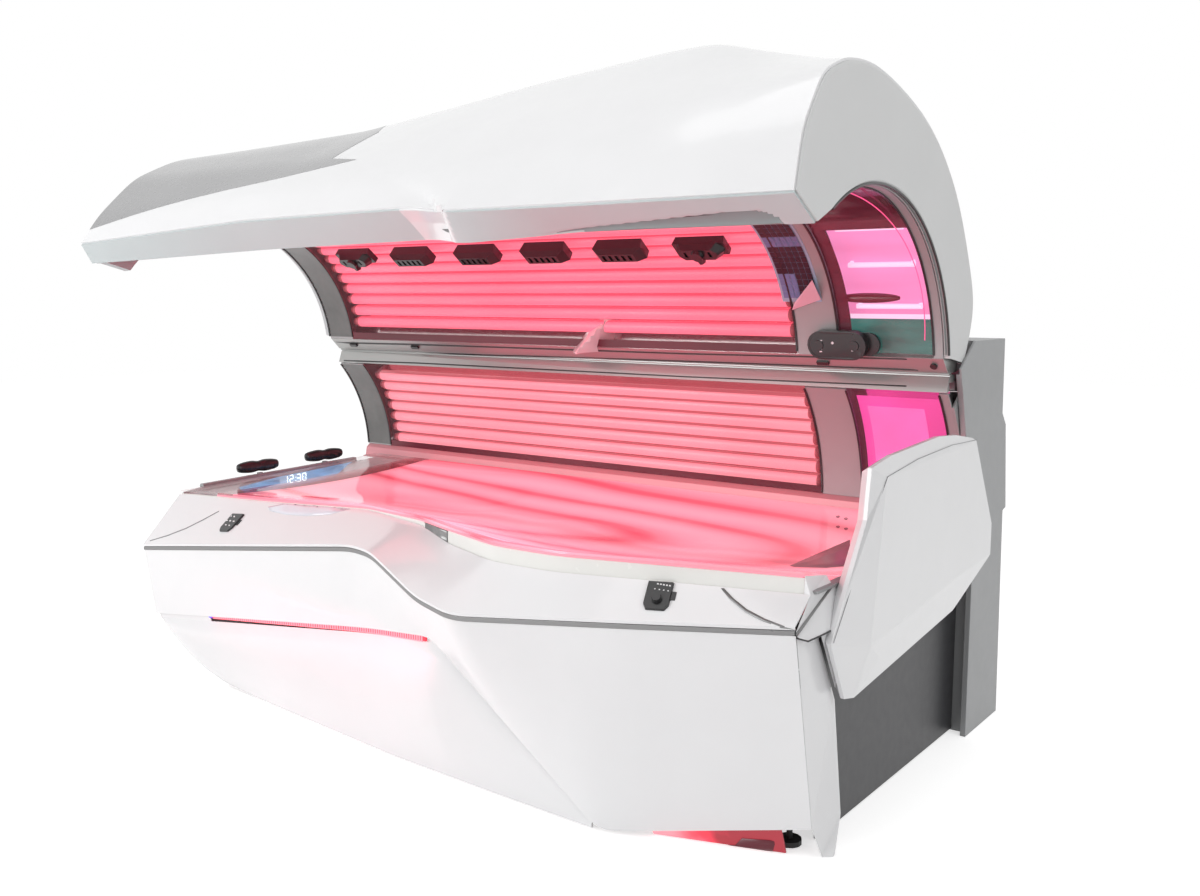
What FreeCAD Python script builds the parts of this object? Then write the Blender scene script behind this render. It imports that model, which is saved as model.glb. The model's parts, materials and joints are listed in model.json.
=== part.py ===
import FreeCAD, Part
import math
import os

# Clamshell tanning bed. Millimetres, +Z up, +X towards the head end, -Y towards the user.
# Origin: on the floor, below the middle of the whole bed. The canopy is drawn open.

V = FreeCAD.Vector

# ---------------------------------------------------------------- driving dimensions
SEAT = 0.3               # gap between a piece and what it is seated on
RUN = 1.0                # gap beside a piece that moves
SKIN = 6.0               # wall of the moulded covers
SHEET = 2.0              # wall of the folded metal sheets
PLATE = 6.0              # small plates, brackets and end panels

FOOT_X = -1165.0         # foot end of the side panel and of the canopy's inner field
RAIL_X = 1142.0          # head end of the rails
RIB_FOOT = 120.0         # width of the curved rib at the foot end
DIVIDER_X = 740.0        # foot side of the divider between body and face fields
DIVIDER_W = 122.0        # width of the divider
FACE_X1 = 1118.0         # head side of the face field

TUNNEL_R = 445.0                     # canopy's inner arc, to the face of the acrylic
TUNNEL_BACK, TUNNEL_Z = 255.0, 993.0 # rearmost point of that arc, and height of its axis
TUNNEL_A0, TUNNEL_A1 = 7.0, 122.0    # start and end of the arc, from +Y upwards

SIDE_R = 495.0                       # side panel's arc
SIDE_BACK, SIDE_Z = 425.0, 620.0     # rearmost point of that arc, and height of its axis
SIDE_LOW, SIDE_HIGH = 641.6, 954.4   # lower and upper edge of the side pane
SIDE_TRAY_HIGH = 918.0               # upper edge of the tray behind it, below the rail

ACRYLIC = 5.0            # acrylic panes
TUBE_GAP = 8.0           # acrylic to lamp tube
TUBE_D = 38.0            # T12 lamp tube
TUBE_PITCH = 43.0        # lamp spacing along the arcs
TRAY_GAP = 12.0          # lamp tube to reflector tray
HOLDER_L = 16.0          # lampholder, along the lamp
HOLDER_W = 26.0          # lampholder, across
CAP_L = 12.0             # metal end cap of a lamp
TUBE_WALL = 1.0          # its glass
LAMP_SIDES = 8           # flats round a lamp tube
ROUND_SIDES = 12         # flats round other round pieces that nothing turns on
FACE_LAMP_D = 14.0       # short high-output lamps behind the canopy's face pane
FACE_LAMP_A = [22, 36, 50, 64, 78]                  # their places along the arc

HINGE_Y, HINGE_Z = 304.0, 1006.0     # axis of the canopy hinge
HINGE_R = 4.0            # bead of the extruded hinge
HINGE_FIT = 0.3
HINGE_LIP = 3.5          # wall of the hook round the bead
RAIL_BACK = 350.7        # rear face of the canopy's rail
LOWER_RAIL_BACK = 352.0
BASE_RAIL_BACK = 446.0

LEVER_R = 230.0          # hinge axis to spring pin
LEVER_A = -26.0          # direction of the pin with the canopy open
LEVER_T = 10.0
LEVER_X = 1066.0         # middle of each lever, either side of the bed
PIN_D = 8.0
PIN_PLAY = 2.2           # room above and below the pin in the spring's eye
EYE_DROP = 0.9           # the pin's arc lies this far off the spring's even travel
SPRING_D = 28.0
SPRING_WALL = 2.5
SPRING_CAP = 12.0
SPRING_Z0 = 330.0        # lower end of the gas springs
SPRING_L = 430.0
ROD_D = 10.0
PISTON_Z = 390.0

BENCH_BACK_Y, BENCH_BACK_Z = 402.0, 606.0
BENCH_FOOT_X, BENCH_HEAD_X = -1098.0, 1142.0
BENCH_SHEET = 6.0
BENCH_FLAT = 16.0        # flat margin along both edges of the lying surface
BENCH_LAMPS = 14
BENCH_LAMP_Y = 360.0     # half spread of the bench lamps
BENCH_LAMP_X = -880.0    # foot end of the bench lamps

TRIM_H = 12.0            # aluminium strip between front cover and rim
TRIM_D = 8.0
LED_H = 14.0
FLOOR_GAP = 4.0          # covers stop this far above the floor

FRAME_T = 40.0           # square tube of the base frame
FRAME_Z = 45.0           # underside of the base frame
FRAME_Y = 400.0          # front member of the frame
REAR_Y = 456.0           # middle of its rear member
FRAME_X0, FRAME_X1 = -830.0, 1090.0
PAD_D = 55.0             # levelling feet
PAD_H = 12.0
STUD_D = 14.0
BALLAST = (80.0, 60.0, 52.0)

COLUMN_W = 140.0         # rear column, along the bed
COLUMN_X = 1150.0        # outer face of each column
COLUMN_WALL = 3.0
CAP_X = 1152.0           # head end of the canopy's shell
CAP_T = 6.0              # end cap beyond it
CHEEK_T = 6.5            # cheek plate that closes the head end
SHIELD_T = 48.0          # head shield, thickness
REAR_SHEET_Y = 640.0     # rear cover
LOUVRE_X = range(-700, 600, 220)     # foot end of each louvre, and their heights
LOUVRE_Z = range(180, 320, 28)
LOUVRE_L, LOUVRE_H = 150.0, 12.0
FAN_X, FAN_Z = -250.0, 250.0
FAN_D = 220.0
FAN_H = 64.0
FAN_HUB = 84.0
FAN_BLADES = 5

OUTLET_W, OUTLET_H, OUTLET_T = 150.0, 52.0, 46.0    # air outlets in the canopy
OUTLET_A = 52.0          # their place along the arc
OUTLET_X = [-545.0, -262.0, 8.0, 278.0]
SWIVEL_X = [-815.0, 540.0]
SWIVEL_SEAT = 22.0       # height of the box that carries a turning nozzle

POD_X, POD_A = 868.0, 11.3           # control pod on the face pane
POD_L, POD_H, POD_T = 165.0, 76.0, 30.0
KEY_D, KEY_OUT, KEY_X = 26.0, 2.0, 50.0
KEY_SIDES = 16

KEYPAD_W, KEYPAD_L, KEYPAD_T = 58.0, 74.0, 9.0
KEYPAD_AT = [(-724.0, 0.47), (862.0, 0.62)]          # place along the bed and up the rim
RIM_LIFT = 0.6           # the rim is slightly warped under the flat-backed panels
KNOB_D, KNOB_H, KNOB_Y = 24.0, 8.0, -10.0

FOOT_BAR_X, FOOT_BAR_Z = -1122.0, 598.0
FOOT_BAR_W = 22.0
NOZZLE_Y = [-124.0, 160.0]
NOZZLE_X = -1111.0       # their axis, which leaves the lying surface free to lift
NOZZLE_SEAT = 20.0

# ---------------------------------------------------------------- outlines
# front strip between the front cover and the rim
TRIM = [(-1105, -575, 414), (-105, -600, 548), (7, -630, 551), (250, -710, 492),
        (405, -755, 484), (810, -665, 516), (1157, -545, 534)]
# front edge of the lying surface: x, y, top of the sheet, depth of the trough
EDGE = [(BENCH_FOOT_X, -441, 577, 4), (-880, -443, 589, 8), (-640, -444, 600, 42),
        (-215, -441, 625, 80), (50, -498, 632, 85), (220, -572, 638, 85), (440, -652, 643, 85),
        (616, -645, 642, 85), (932, -547, 640, 80), (BENCH_HEAD_X, -482, 638, 60)]
# height of the rim's rear edge
RIM_TOP = [(-1105, 566), (-640, 588), (-215, 612), (50, 612), (220, 598), (616, 598), (1157, 595)]
# fold of the front cover, then its slanting lower edge
FOLD = [(-1045, -583, 215), (-640, -592, 270), (-105, -612, 343), (7, -625, 359),
        (250, -668, 392), (405, -645, 262), (700, -595, FLOOR_GAP), (810, -562, 22),
        (1157, -452, 83)]
# lower edge of the hull: x, y, z, and how far its top stands above the fold
KEEL = [(-1040, -560, 200, -18), (-985, -545, 118, -18), (-900, -520, 50, -18),
        (-800, -506, 14, -18), (-640, -512, FLOOR_GAP, -18), (7, -572, FLOOR_GAP, -18),
        (235, -580, FLOOR_GAP, -18), (270, -582, FLOOR_GAP, 20), (405, -586, FLOOR_GAP, 20),
        (680, -592, FLOOR_GAP, 20)]
# foot end, side view: x, z, front edge
BOW = [(-1105, 414, -567), (-1047, 222, -575.5), (-1043, 212, -553), (-985, 118, -538.5),
       (-900, 50, -513.5), (-830, 14, -499.5)]
# canopy sections: x, then (y, z) from the front lower edge over the top to the rear
CANOPY = [
    (-1195, [(-640, 1303), (-672, 1358), (-606, 1446), (-485, 1561), (-340, 1628),
             (-120, 1668), (60, 1634), (230, 1514), (325, 1350), (362, 1180), (357, 1032)]),
    (-500, [(-520, 1334), (-600, 1404), (-545, 1478), (-425, 1566), (-280, 1635),
            (-100, 1697), (70, 1655), (240, 1530), (340, 1360), (385, 1190), (357, 1032)]),
    (130, [(-500, 1345), (-592, 1412), (-505, 1502), (-372, 1600), (-250, 1685),
           (-100, 1766), (75, 1725), (245, 1570), (353, 1380), (395, 1195), (357, 1032)]),
    (275, [(-562, 1328), (-626, 1396), (-522, 1500), (-374, 1608), (-250, 1696),
           (-100, 1778), (78, 1736), (248, 1578), (358, 1382), (398, 1195), (357, 1032)]),
    (560, [(-502, 1347), (-606, 1397), (-512, 1502), (-382, 1616), (-250, 1715),
           (-100, 1800), (80, 1758), (250, 1590), (362, 1382), (402, 1195), (357, 1032)]),
    (690, [(-500, 1348), (-602, 1397), (-516, 1504), (-388, 1619), (-252, 1718),
           (-100, 1803), (82, 1758), (252, 1590), (364, 1380), (404, 1195), (357, 1032)]),
    (930, [(-496, 1348), (-592, 1398), (-528, 1512), (-414, 1628), (-300, 1692),
           (-140, 1738), (75, 1680), (252, 1530), (372, 1350), (408, 1180), (357, 1032)]),
    (CAP_X, [(-490, 1348), (-578, 1400), (-548, 1520), (-466, 1634), (-372, 1671),
             (-210, 1676), (60, 1599), (250, 1466), (372, 1285), (413, 1163), (357, 1032)]),
]
SOFT_FROM = 4            # behind this point the canopy's outline is round
SOFT_STEPS = 2
# plan line that divides the silver cover at the foot end from the white shell
SILVER_LINE = [(-1300, -664), (-290, -396), (-402, -300), (-450, -150), (-450, 700)]
# head shield: outline of the full shape and of the flat outer facet
SHIELD = [(-288, 790), (-240, 838), (-20, 862), (217, 861), (372, 838), (530, 660),
          (545, 520), (430, 462), (262, 404), (-372, 352), (-398, 372), (-484, 511)]
FACET = [(-205, 730), (-190, 752), (-20, 812), (200, 838), (340, 826), (470, 660),
         (500, 540), (400, 500), (240, 452), (-215, 430), (-240, 440), (-300, 510)]
# rear column, and the cheek beside it
COLUMN = [(496, 0), (496, 600), (494, 700), (484, 830), (420, 960), (402, 1010),
          (430, 1087), (655, 1087), (662, 880), (694, 846), (726, 604), (700, 598), (722, 0)]
CHEEK = [(465, 0), (465, 560), (418, 700), (345, 940), (318, 1020), (415, 1087),
         (655, 1087), (662, 880), (694, 846), (726, 604), (700, 598), (722, 0)]
# display under the foot end of the lying surface, in plan
DISPLAY = [(-1040, -290), (-900, -330), (-872, -270), (-915, 52), (-1024, 186), (-1043, 0)]
DISPLAY_Z, DISPLAY_TILT = 582.4, 1.95                # height at y = 0, and slope in degrees

TUNNEL = (TUNNEL_BACK - TUNNEL_R, TUNNEL_Z)
SIDE = (SIDE_BACK - SIDE_R, SIDE_Z)
SIDE_A0, SIDE_A1, SIDE_TRAY_A1 = [math.degrees(math.asin((z - SIDE_Z) / SIDE_R))
                                  for z in (SIDE_LOW, SIDE_HIGH, SIDE_TRAY_HIGH)]
CANOPY_GROWTH = TUNNEL_R / 445       # the canopy's sections are drawn round a 445 mm tunnel
TRAY_R = ACRYLIC + TUBE_GAP + TUBE_D + TRAY_GAP     # arc face to reflector tray
TUBE_R = ACRYLIC + TUBE_GAP + TUBE_D / 2            # arc face to lamp axis
LEG = TUBE_D / 2 + TRAY_GAP                         # lamp axis to reflector tray
FIELD_X0 = FOOT_X + RIB_FOOT
FACE_X0 = DIVIDER_X + DIVIDER_W
BULK_X = CAP_X - 30.0                               # inner face of the canopy's head end wall
CHEEK_X = CAP_X + CAP_T + RUN                       # inner face of the cheek beside the canopy
COLUMN_FACE = COLUMN[0][0]


# ---------------------------------------------------------------- helpers
def mix(a, b, t):
    return tuple(p + (q - p) * t for p, q in zip(a, b))


def at(table, x):
    """Rest of a table's row at x, by straight interpolation."""
    x = min(max(x, table[0][0]), table[-1][0])
    for a, b in zip(table, table[1:]):
        if x <= b[0]:
            return mix(a[1:], b[1:], (x - a[0]) / (b[0] - a[0]))


def wire(points):
    vs = [V(*p) for p in points]
    return Part.makePolygon(vs + [vs[0]])


def prism_x(points, x0, x1):
    """Solid of a (y, z) outline between two planes across the bed."""
    face = Part.Face(wire([(x0, y, z) for y, z in points]))
    return face.extrude(V(x1 - x0, 0, 0))


def prism_y(points, y0, y1):
    face = Part.Face(wire([(x, y0, z) for x, z in points]))
    return face.extrude(V(0, y1 - y0, 0))


def prism_z(points, z0, z1):
    face = Part.Face(wire([(x, y, z0) for x, y in points]))
    return face.extrude(V(0, 0, z1 - z0))


def box(x0, x1, y0, y1, z0, z1):
    return Part.makeBox(x1 - x0, y1 - y0, z1 - z0, V(x0, y0, z0))


def bar_x(y, z, d, x0, x1):
    return Part.makeCylinder(d / 2, x1 - x0, V(x0, y, z), V(1, 0, 0))


def bar_y(x, z, d, y0, y1):
    return Part.makeCylinder(d / 2, y1 - y0, V(x, y0, z), V(0, 1, 0))


def bar_z(x, y, d, z0, z1):
    return Part.makeCylinder(d / 2, z1 - z0, V(x, y, z0), V(0, 0, 1))


def polar(cy, cz, r, a):
    return cy + r * math.cos(math.radians(a)), cz + r * math.sin(math.radians(a))


def sector(centre, r0, r1, a0, a1, x0, x1):
    """Curved plate: part of a ring about an axis along the bed."""
    def arc(r, s, e):
        p = [V(x0, *polar(*centre, r, a)) for a in (s, (s + e) / 2, e)]
        return Part.Arc(*p).toShape()
    ends = [Part.makeLine(V(x0, *polar(*centre, r1, a1)), V(x0, *polar(*centre, r0, a1))),
            Part.makeLine(V(x0, *polar(*centre, r0, a0)), V(x0, *polar(*centre, r1, a0)))]
    face = Part.Face(Part.Wire([arc(r1, a0, a1), ends[0], arc(r0, a1, a0), ends[1]]))
    return face.extrude(V(x1 - x0, 0, 0))


def loft(sections):
    return Part.makeLoft([wire(s) for s in sections], True, True)


def facet_loft(sections):
    """Loft with flat triangular facets instead of twisted faces."""
    rings = [[V(*p) for p in s] for s in sections]
    faces = [flat(rings[0]), flat(rings[-1])]
    for a, b in zip(rings, rings[1:]):
        for i in range(len(a)):
            j = (i + 1) % len(a)
            faces += split_quad(a[i], a[j], b[j], b[i])
    solid = Part.Solid(Part.Shell(faces))
    if solid.Volume < 0:
        solid.reverse()
    return solid.removeSplitter()


def split_quad(a, b, c, d):
    """Two triangles over the quad's shorter diagonal."""
    if (a - c).Length < (b - d).Length:
        return [flat([a, b, c]), flat([a, c, d])]
    return [flat([a, b, d]), flat([b, c, d])]


def flat(points):
    return Part.Face(Part.makePolygon(points + [points[0]]))


def ring(u, v, d, sides):
    """Corners of a many-sided outline, for round pieces that nothing turns on."""
    return [polar(u, v, d / 2, 360 * (i + 0.5) / sides) for i in range(sides)]


def soften(points, first, steps):
    """Round an outline from one of its points on, by a spline through its points."""
    out = points[:first + 1]
    last = len(points) - 1
    for i in range(first, last):
        near = [points[j] for j in (max(i - 1, first), i, i + 1, min(i + 2, last))]
        for k in range(1, steps + 1):
            t = k / steps
            weights = (-t + 2 * t ** 2 - t ** 3, 2 - 5 * t ** 2 + 3 * t ** 3,
                       t + 4 * t ** 2 - 3 * t ** 3, t ** 3 - t ** 2)
            out.append(tuple(sum(w * p[j] for w, p in zip(weights, near)) / 2 for j in (0, 1)))
    return out


def inset(points, t):
    """Offset an open (y, z) line by t towards its inner side, with mitred corners."""
    out = []
    last = len(points) - 1
    for i, p in enumerate(points):
        normals = []
        for a, b in ((i - 1, i), (i, i + 1)):
            if a >= 0 and b <= last:
                dy = points[b][0] - points[a][0]
                dz = points[b][1] - points[a][1]
                n = math.hypot(dy, dz)
                normals.append((dz / n, -dy / n))
        ny = sum(n[0] for n in normals) / len(normals)
        nz = sum(n[1] for n in normals) / len(normals)
        k = t / (ny * ny + nz * nz)
        out.append((p[0] + ny * k, p[1] + nz * k))
    return out


def step_from(p, q, d):
    """Point at distance d from p towards q."""
    return mix(p, q, d / math.dist(p, q))


def fused(parts):
    shape = parts[0]
    for p in parts[1:]:
        shape = shape.fuse(p)
    return shape.removeSplitter()


def group(solids):
    return Part.makeCompound(solids)


# ---------------------------------------------------------------- frame and columns
def cross_xs():
    """Foot side of the four cross members of the frame."""
    pitch = (FRAME_X1 - FRAME_X0 - FRAME_T) / 3
    return [FRAME_X0 + i * pitch for i in range(4)]


def base_frame():
    z0, z1, t = FRAME_Z, FRAME_Z + FRAME_T, FRAME_T
    stub = COLUMN_X - COLUMN_W / 2
    parts = [box(FRAME_X0, FRAME_X1, -FRAME_Y, -FRAME_Y + t, z0, z1),
             box(-stub - t / 2, stub + t / 2, REAR_Y - t / 2, REAR_Y + t / 2, z0, z1)]
    for x in cross_xs():
        parts.append(box(x, x + t, -FRAME_Y, REAR_Y, z0, z1))
    for x in (-stub, stub):
        parts.append(box(x - t / 2, x + t / 2, REAR_Y, COLUMN_FACE - SEAT, z0, z1))
    for x in (cross_xs()[0], cross_xs()[3]):
        for y in (-250, 210):
            parts.append(box(x, x + t, y, y + t, z0, tray_under(y, t)))
    return fused(parts)


def levelling_feet():
    feet = []
    half = FRAME_T / 2
    for x in (FRAME_X0 + half, (FRAME_X0 + FRAME_X1) / 2, FRAME_X1 - half):
        for y in (-FRAME_Y + half, REAR_Y):
            pad = prism_z(ring(x, y, PAD_D, ROUND_SIDES), 0, PAD_H)
            stud = prism_z(ring(x, y, STUD_D, ROUND_SIDES), PAD_H, FRAME_Z - SEAT)
            feet.append(fused([pad, stud]))
    return group(feet)


def casing_x(outline, x0, x1, t):
    """Closed casing along the bed with walls of t."""
    inner = Part.Face(wire([(x0 + t, y, z) for y, z in outline])).makeOffset2D(-t)
    return prism_x(outline, x0, x1).cut(inner.extrude(V(x1 - x0 - 2 * t, 0, 0)))


def column_front(z):
    """Front face of a column at one height."""
    return at([(q, y) for y, q in COLUMN[:7]], z)[0]


def side_tray_back(z):
    r = SIDE_R + TRAY_R + SHEET
    return SIDE[0] + math.sqrt(r * r - (z - SIDE_Z) ** 2)


def column_lugs(x0, x1):
    """Welded lugs in front of a column that carry the rails and the side tray."""
    lugs = []
    for z0, z1, y0 in ((967, 985, LOWER_RAIL_BACK), (652, 660, side_tray_back(652)),
                       (606, 614, BASE_RAIL_BACK)):
        inside = [(column_front(z) + COLUMN_WALL / 2, z) for z in (z1, z0)]
        lugs.append(prism_x([(y0 + SEAT, z0), (y0 + SEAT, z1)] + inside, x0, x1))
    return lugs


def lever_slot(side):
    """Opening in the front of a column that the canopy's lever swings through."""
    x = side * LEVER_X
    w = LEVER_T / 2 + 6 * RUN
    return box(x - w, x + w, 380, COLUMN_FACE + 14, 925, 1095)


def column(side):
    x0, x1 = sorted((side * (COLUMN_X - COLUMN_W), side * COLUMN_X))
    shell = casing_x(COLUMN, x0, x1, COLUMN_WALL).cut(lever_slot(side))
    top = SPRING_Z0 - SEAT
    shelf = box(x0 + 1, x1 - 1, COLUMN_FACE + 1, COLUMN_FACE + 80, top - PLATE, top)
    lug_x = x0 + 10 if side > 0 else x1 - 34
    parts = [shell, shelf] + column_lugs(lug_x, lug_x + 24)
    if side > 0:
        outer = CHEEK_X + CHEEK_T
        pocket = box(x1, CHEEK_X, 300, column_front(1010) + 24, 1005, 1100)
        parts.append(prism_x(CHEEK, x1, outer).cut(pocket))
    return fused(parts)


def pin_place(a):
    return polar(HINGE_Y, HINGE_Z, LEVER_R, a)


def spring_y():
    """Middle of the pin's fore-and-aft travel."""
    return (pin_place(LEVER_A)[0] + pin_place(0)[0]) / 2


def spring_x(side):
    return side * (LEVER_X - LEVER_T / 2 - 9)


def spring_cylinders():
    out = []
    y, top = spring_y(), SPRING_Z0 + SPRING_L
    for side in (-1, 1):
        x = spring_x(side)
        shell = prism_z(ring(x, y, SPRING_D, ROUND_SIDES), SPRING_Z0, top)
        bore = prism_z(ring(x, y, SPRING_D - 2 * SPRING_WALL, ROUND_SIDES),
                       SPRING_Z0 + SPRING_CAP, top - SPRING_CAP)
        neck = prism_z(ring(x, y, ROD_D + 2 * SEAT, ROUND_SIDES), top - SPRING_CAP - 1, top + 1)
        out.append(shell.cut(bore).cut(neck))
    return group(out)


def slot_shape(x0, x1, y, z, reach, r):
    """Rounded slot outline across the bed, its end arcs centred reach from y."""
    ends = [bar_x(y + s * reach, z, 2 * r, x0, x1) for s in (-1, 1)]
    return fused([box(x0, x1, y - reach, y + reach, z - r, z + r)] + ends)


def spring_rods():
    """Rods with a slotted eye; the lever's pin slides in the slot."""
    out = []
    y = spring_y()
    py, pz = pin_place(LEVER_A)
    r = PIN_D / 2 + PIN_PLAY
    mid = pz - EYE_DROP
    reach = y - py
    for side in (-1, 1):
        x = spring_x(side)
        eye = slot_shape(x - 4, x + 4, y, mid, reach, r + 4)
        slot = slot_shape(x - 5, x + 5, y, mid, reach, r)
        rod = prism_z(ring(x, y, ROD_D, ROUND_SIDES), PISTON_Z, mid - r - 1)
        piston = prism_z(ring(x, y, SPRING_D - 2 * SPRING_WALL - 2 * SEAT, ROUND_SIDES),
                         PISTON_Z, PISTON_Z + 14)
        out.append(fused([eye.cut(slot), rod, piston]))
    return group(out)


def hinge_levers():
    """Plates at the rear of the canopy's rail that reach back to the gas springs."""
    out = []
    py, pz = pin_place(LEVER_A)
    back = RAIL_BACK + SEAT
    outline = [(back, 1012), (back, 1030), (374, 1030), (py + 8, pz + 8), (py + 12, pz - 2),
               (py + 6, pz - 12), (py - 8, pz - 12), (362, 1006)]
    for side in (-1, 1):
        x = side * LEVER_X
        plate = prism_x(outline, x - LEVER_T / 2, x + LEVER_T / 2)
        foot = box(x - 24, x + 24, back, back + 5, 1010, 1030)
        x0, x1 = sorted((x, spring_x(side) - side * 7))
        out.append(fused([plate, foot, bar_x(py, pz, PIN_D, x0, x1)]))
    return group(out)


# ---------------------------------------------------------------- covers of the base
def leaning_cover(rows, wall, make=loft):
    """Cover through rows of outer points; the wall is measured along Y."""
    return make([line + [(x, y + wall, z) for x, y, z in line[::-1]] for line in rows])


def cover_y(x, z):
    """Outer face of the front cover at one place."""
    fy, fz = at(FOLD, x)
    ty, tz = at(TRIM, x)
    return mix((fy,), (ty,), (z - fz) / (tz - fz))[0]


def front_cover():
    drop = TRIM_H / 2 + SEAT
    rows = []
    for x, y, z in FOLD:
        tx = TRIM[0][0] if x == FOLD[0][0] else x
        ty, tz = at(TRIM, tx)
        rows.append([(tx, ty, tz - drop), (x, y, z)])
    return leaning_cover(rows, SKIN)


def hull_cover():
    """Hull below the fold, set back so that the light strip fits under the fold."""
    rows = []
    back = SKIN + 8.0
    for x, y, z, tuck in KEEL:
        fy, fz = at(FOLD, x)
        top = max(fz + tuck, z + 10)
        h = top - z
        bulge = (x, fy + back - min(11.0, 0.12 * h), top - 0.28 * h)
        low = (x, 0.45 * fy + 0.55 * y + 3, z + 0.25 * h)
        rows.append([(x, fy + back, top), bulge, low, (x, y, z)])
    return leaning_cover(rows, SKIN, facet_loft)


def front_trim():
    h = TRIM_H / 2
    rows = [[(x, y - 1, z + h), (x, y - 1, z - h)] for x, y, z in TRIM]
    return leaning_cover(rows, TRIM_D)


def rim_rows():
    """Per place along the bed: front and rear edge of the rim."""
    rows = []
    for x in sorted(set([p[0] for p in TRIM] + [p[0] for p in EDGE[1:-1]])):
        ty, tz = at(TRIM, x)
        ey = at(EDGE, x)[0]
        rows.append((x, ty, tz + TRIM_H / 2 + SEAT, ey + 3 - SEAT, at(RIM_TOP, x)[0]))
    return rows


def rim_cover():
    """Sloping rim in two pieces, split by a curved groove at the head corner."""
    t = SKIN - 1
    full = loft([[(x, fy, fz), (x, fy, fz + t), (x, by, bz), (x, by, bz - t)]
                 for x, fy, fz, by, bz in rim_rows()])
    arc = [(940, -400), (940, -500), (958, -555), (1010, -580), (1100, -572), (1170, -550)]
    groove = prism_z(arc + [(x + 3, y + 3) for x, y in arc[::-1]], 400, 700)
    return full.cut(groove)


def rim_point(x, s):
    """Place (y, z) on top of the rim, s = 0 at its front edge and 1 at its rear."""
    fy, fz, by, bz = at(rim_rows(), x)
    return mix((fy, fz + SKIN - 1), (by, bz), s)


def rim_under(x, y):
    """Underside of the rim at one place."""
    fy, fz, by, bz = at(rim_rows(), x)
    return mix((fz,), (bz - SKIN + 1,), (y - fy) / (by - fy))[0]


def bench_band():
    """Upright band that carries the front edge of the lying surface."""
    rows = []
    for x, y, z, sag in EDGE:
        high = z - BENCH_SHEET - SEAT
        rows.append([(x, y + 3, high), (x, y + 3, high - 56)])
    return leaning_cover(rows, 10.0)


def bench_liner():
    """Inner apron from the band back to the reflector tray."""
    edge = bench_facets()[0][0] - 3 * SEAT
    low = bench_tray_z(edge)
    sections = []
    for x, y, z, sag in EDGE[1:]:
        x = min(x, FACE_X1 - 10)
        ey, ez = at(EDGE, x)[:2]
        a, b = (x, ey + 14, ez - 50), (x, edge, low + 2)
        sections.append([a, b, (x, b[1], b[2] - 3), (x, a[1], a[2] - 3)])
    return facet_loft(sections)


def light_strips():
    """Light strip under the fold, and the lit strip under the head side of the cover."""
    rows = []
    x0, x1 = -760, 225
    for x in [x0] + [p[0] for p in FOLD if x0 < p[0] < x1] + [x1]:
        y, z = at(FOLD, x)
        h = LED_H * (0.3 + 0.7 * (x - x0) / (x1 - x0))
        front = y + SKIN + 3 * SEAT
        rows.append([(x, front, z + 6), (x, front, z - 1 - h)])
    strip = leaning_cover(rows, 5.0)
    rows = []
    for x, y in ((FOLD[-2][0], -532), (1090, -436)):
        z = at(FOLD, x)[1] + 24
        rows.append([(x, cover_y(x, z) + SKIN + 2 * SEAT, z), (x, y, FLOOR_GAP)])
    return group([strip, leaning_cover(rows, 5.0)])


def corner_cover():
    """Bevelled corner between the front cover and the head end, down to the floor."""
    x, y, z = TRIM[-1]
    x += SEAT
    rows = [[(x, cover_y(x, 522) + 2, 522), (x + 7, -470, 522)],
            [(x, cover_y(x, 346) + 2, 346), (x + 7, -374, 346)],
            [(x, FOLD[-1][1] + 2, FOLD[-1][2]), (x + 20, -356, FOLD[-1][2])],
            [(x + 4, -405, 3), (x + 24, -388, 3)]]
    return facet_loft([[a, b, (b[0] - 2, b[1] + 9, b[2]), (a[0] - 1, a[1] + 16, a[2])]
                       for a, b in rows])


def head_end_panel():
    return box(LEDGE_X, LEDGE_X + PLATE, -340, COLUMN_FACE - SEAT, 6, LEDGE_Z)


LEDGE_X, LEDGE_Z = 1109.0, 494.0


def head_ledge():
    """Folded strip round the head end of the lying surface, down to the end panel."""
    x1, x2 = BENCH_HEAD_X + 2 * RUN, CHEEK_X + CHEEK_T
    t = PLATE
    z0, z1 = LEDGE_Z + SEAT, BENCH_BACK_Z - 2
    outline = [(LEDGE_X, z0), (x1 + t, z0), (x1 + t, z1 - t), (x2, z1 - t), (x2, z1), (x1, z1),
               (x1, z0 + t), (LEDGE_X, z0 + t)]
    return prism_y(outline, -466, BENCH_BACK_Y - RUN)


def foot_end_cover():
    """Foot end: a curved lower skin and a flat plate up to the foot bar."""
    back = 430
    lower = facet_loft([[(x, y, z), (x, back, z), (x + SKIN, back, z), (x + SKIN, y, z)]
                        for x, z, y in BOW])
    x, z, front = BOW[0]
    bar = FOOT_BAR_Z - 8 - SEAT
    rim = [(y, rim_under(x, y) - SEAT) for y in (front, EDGE[0][1] + 3)]
    upper = [(front, z)] + rim + [(-430, 574), (-355, bar - 8), (300, bar + 8), (301, 590),
                                  (470, 590), (470, z)]
    return fused([lower, prism_x(upper, x, x + SKIN)])


def head_shield():
    x0 = CHEEK_X + CHEEK_T + SEAT
    full = [[(x, y, z) for y, z in SHIELD] for x in (x0, x0 + 16)]
    facet = [(x0 + SHIELD_T, y, z) for y, z in FACET]
    return facet_loft(full + [facet])


def rear_cover():
    """Louvred sheet between the columns, folded over the top to the lower rail."""
    edge = COLUMN_X - COLUMN_W - SEAT
    t, y = SHEET, REAR_SHEET_Y
    front = LOWER_RAIL_BACK + SEAT
    outline = [(y, 30), (y, 962), (front, 982), (front, 982 + t), (y + t, 962 + t), (y + t, 30)]
    panel = prism_x(outline, -edge, edge)
    slots = [box(x, x + LOUVRE_L, y - 1, y + t + 1, z, z + LOUVRE_H)
             for x in LOUVRE_X for z in LOUVRE_Z]
    return panel.cut(group(slots))


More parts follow.
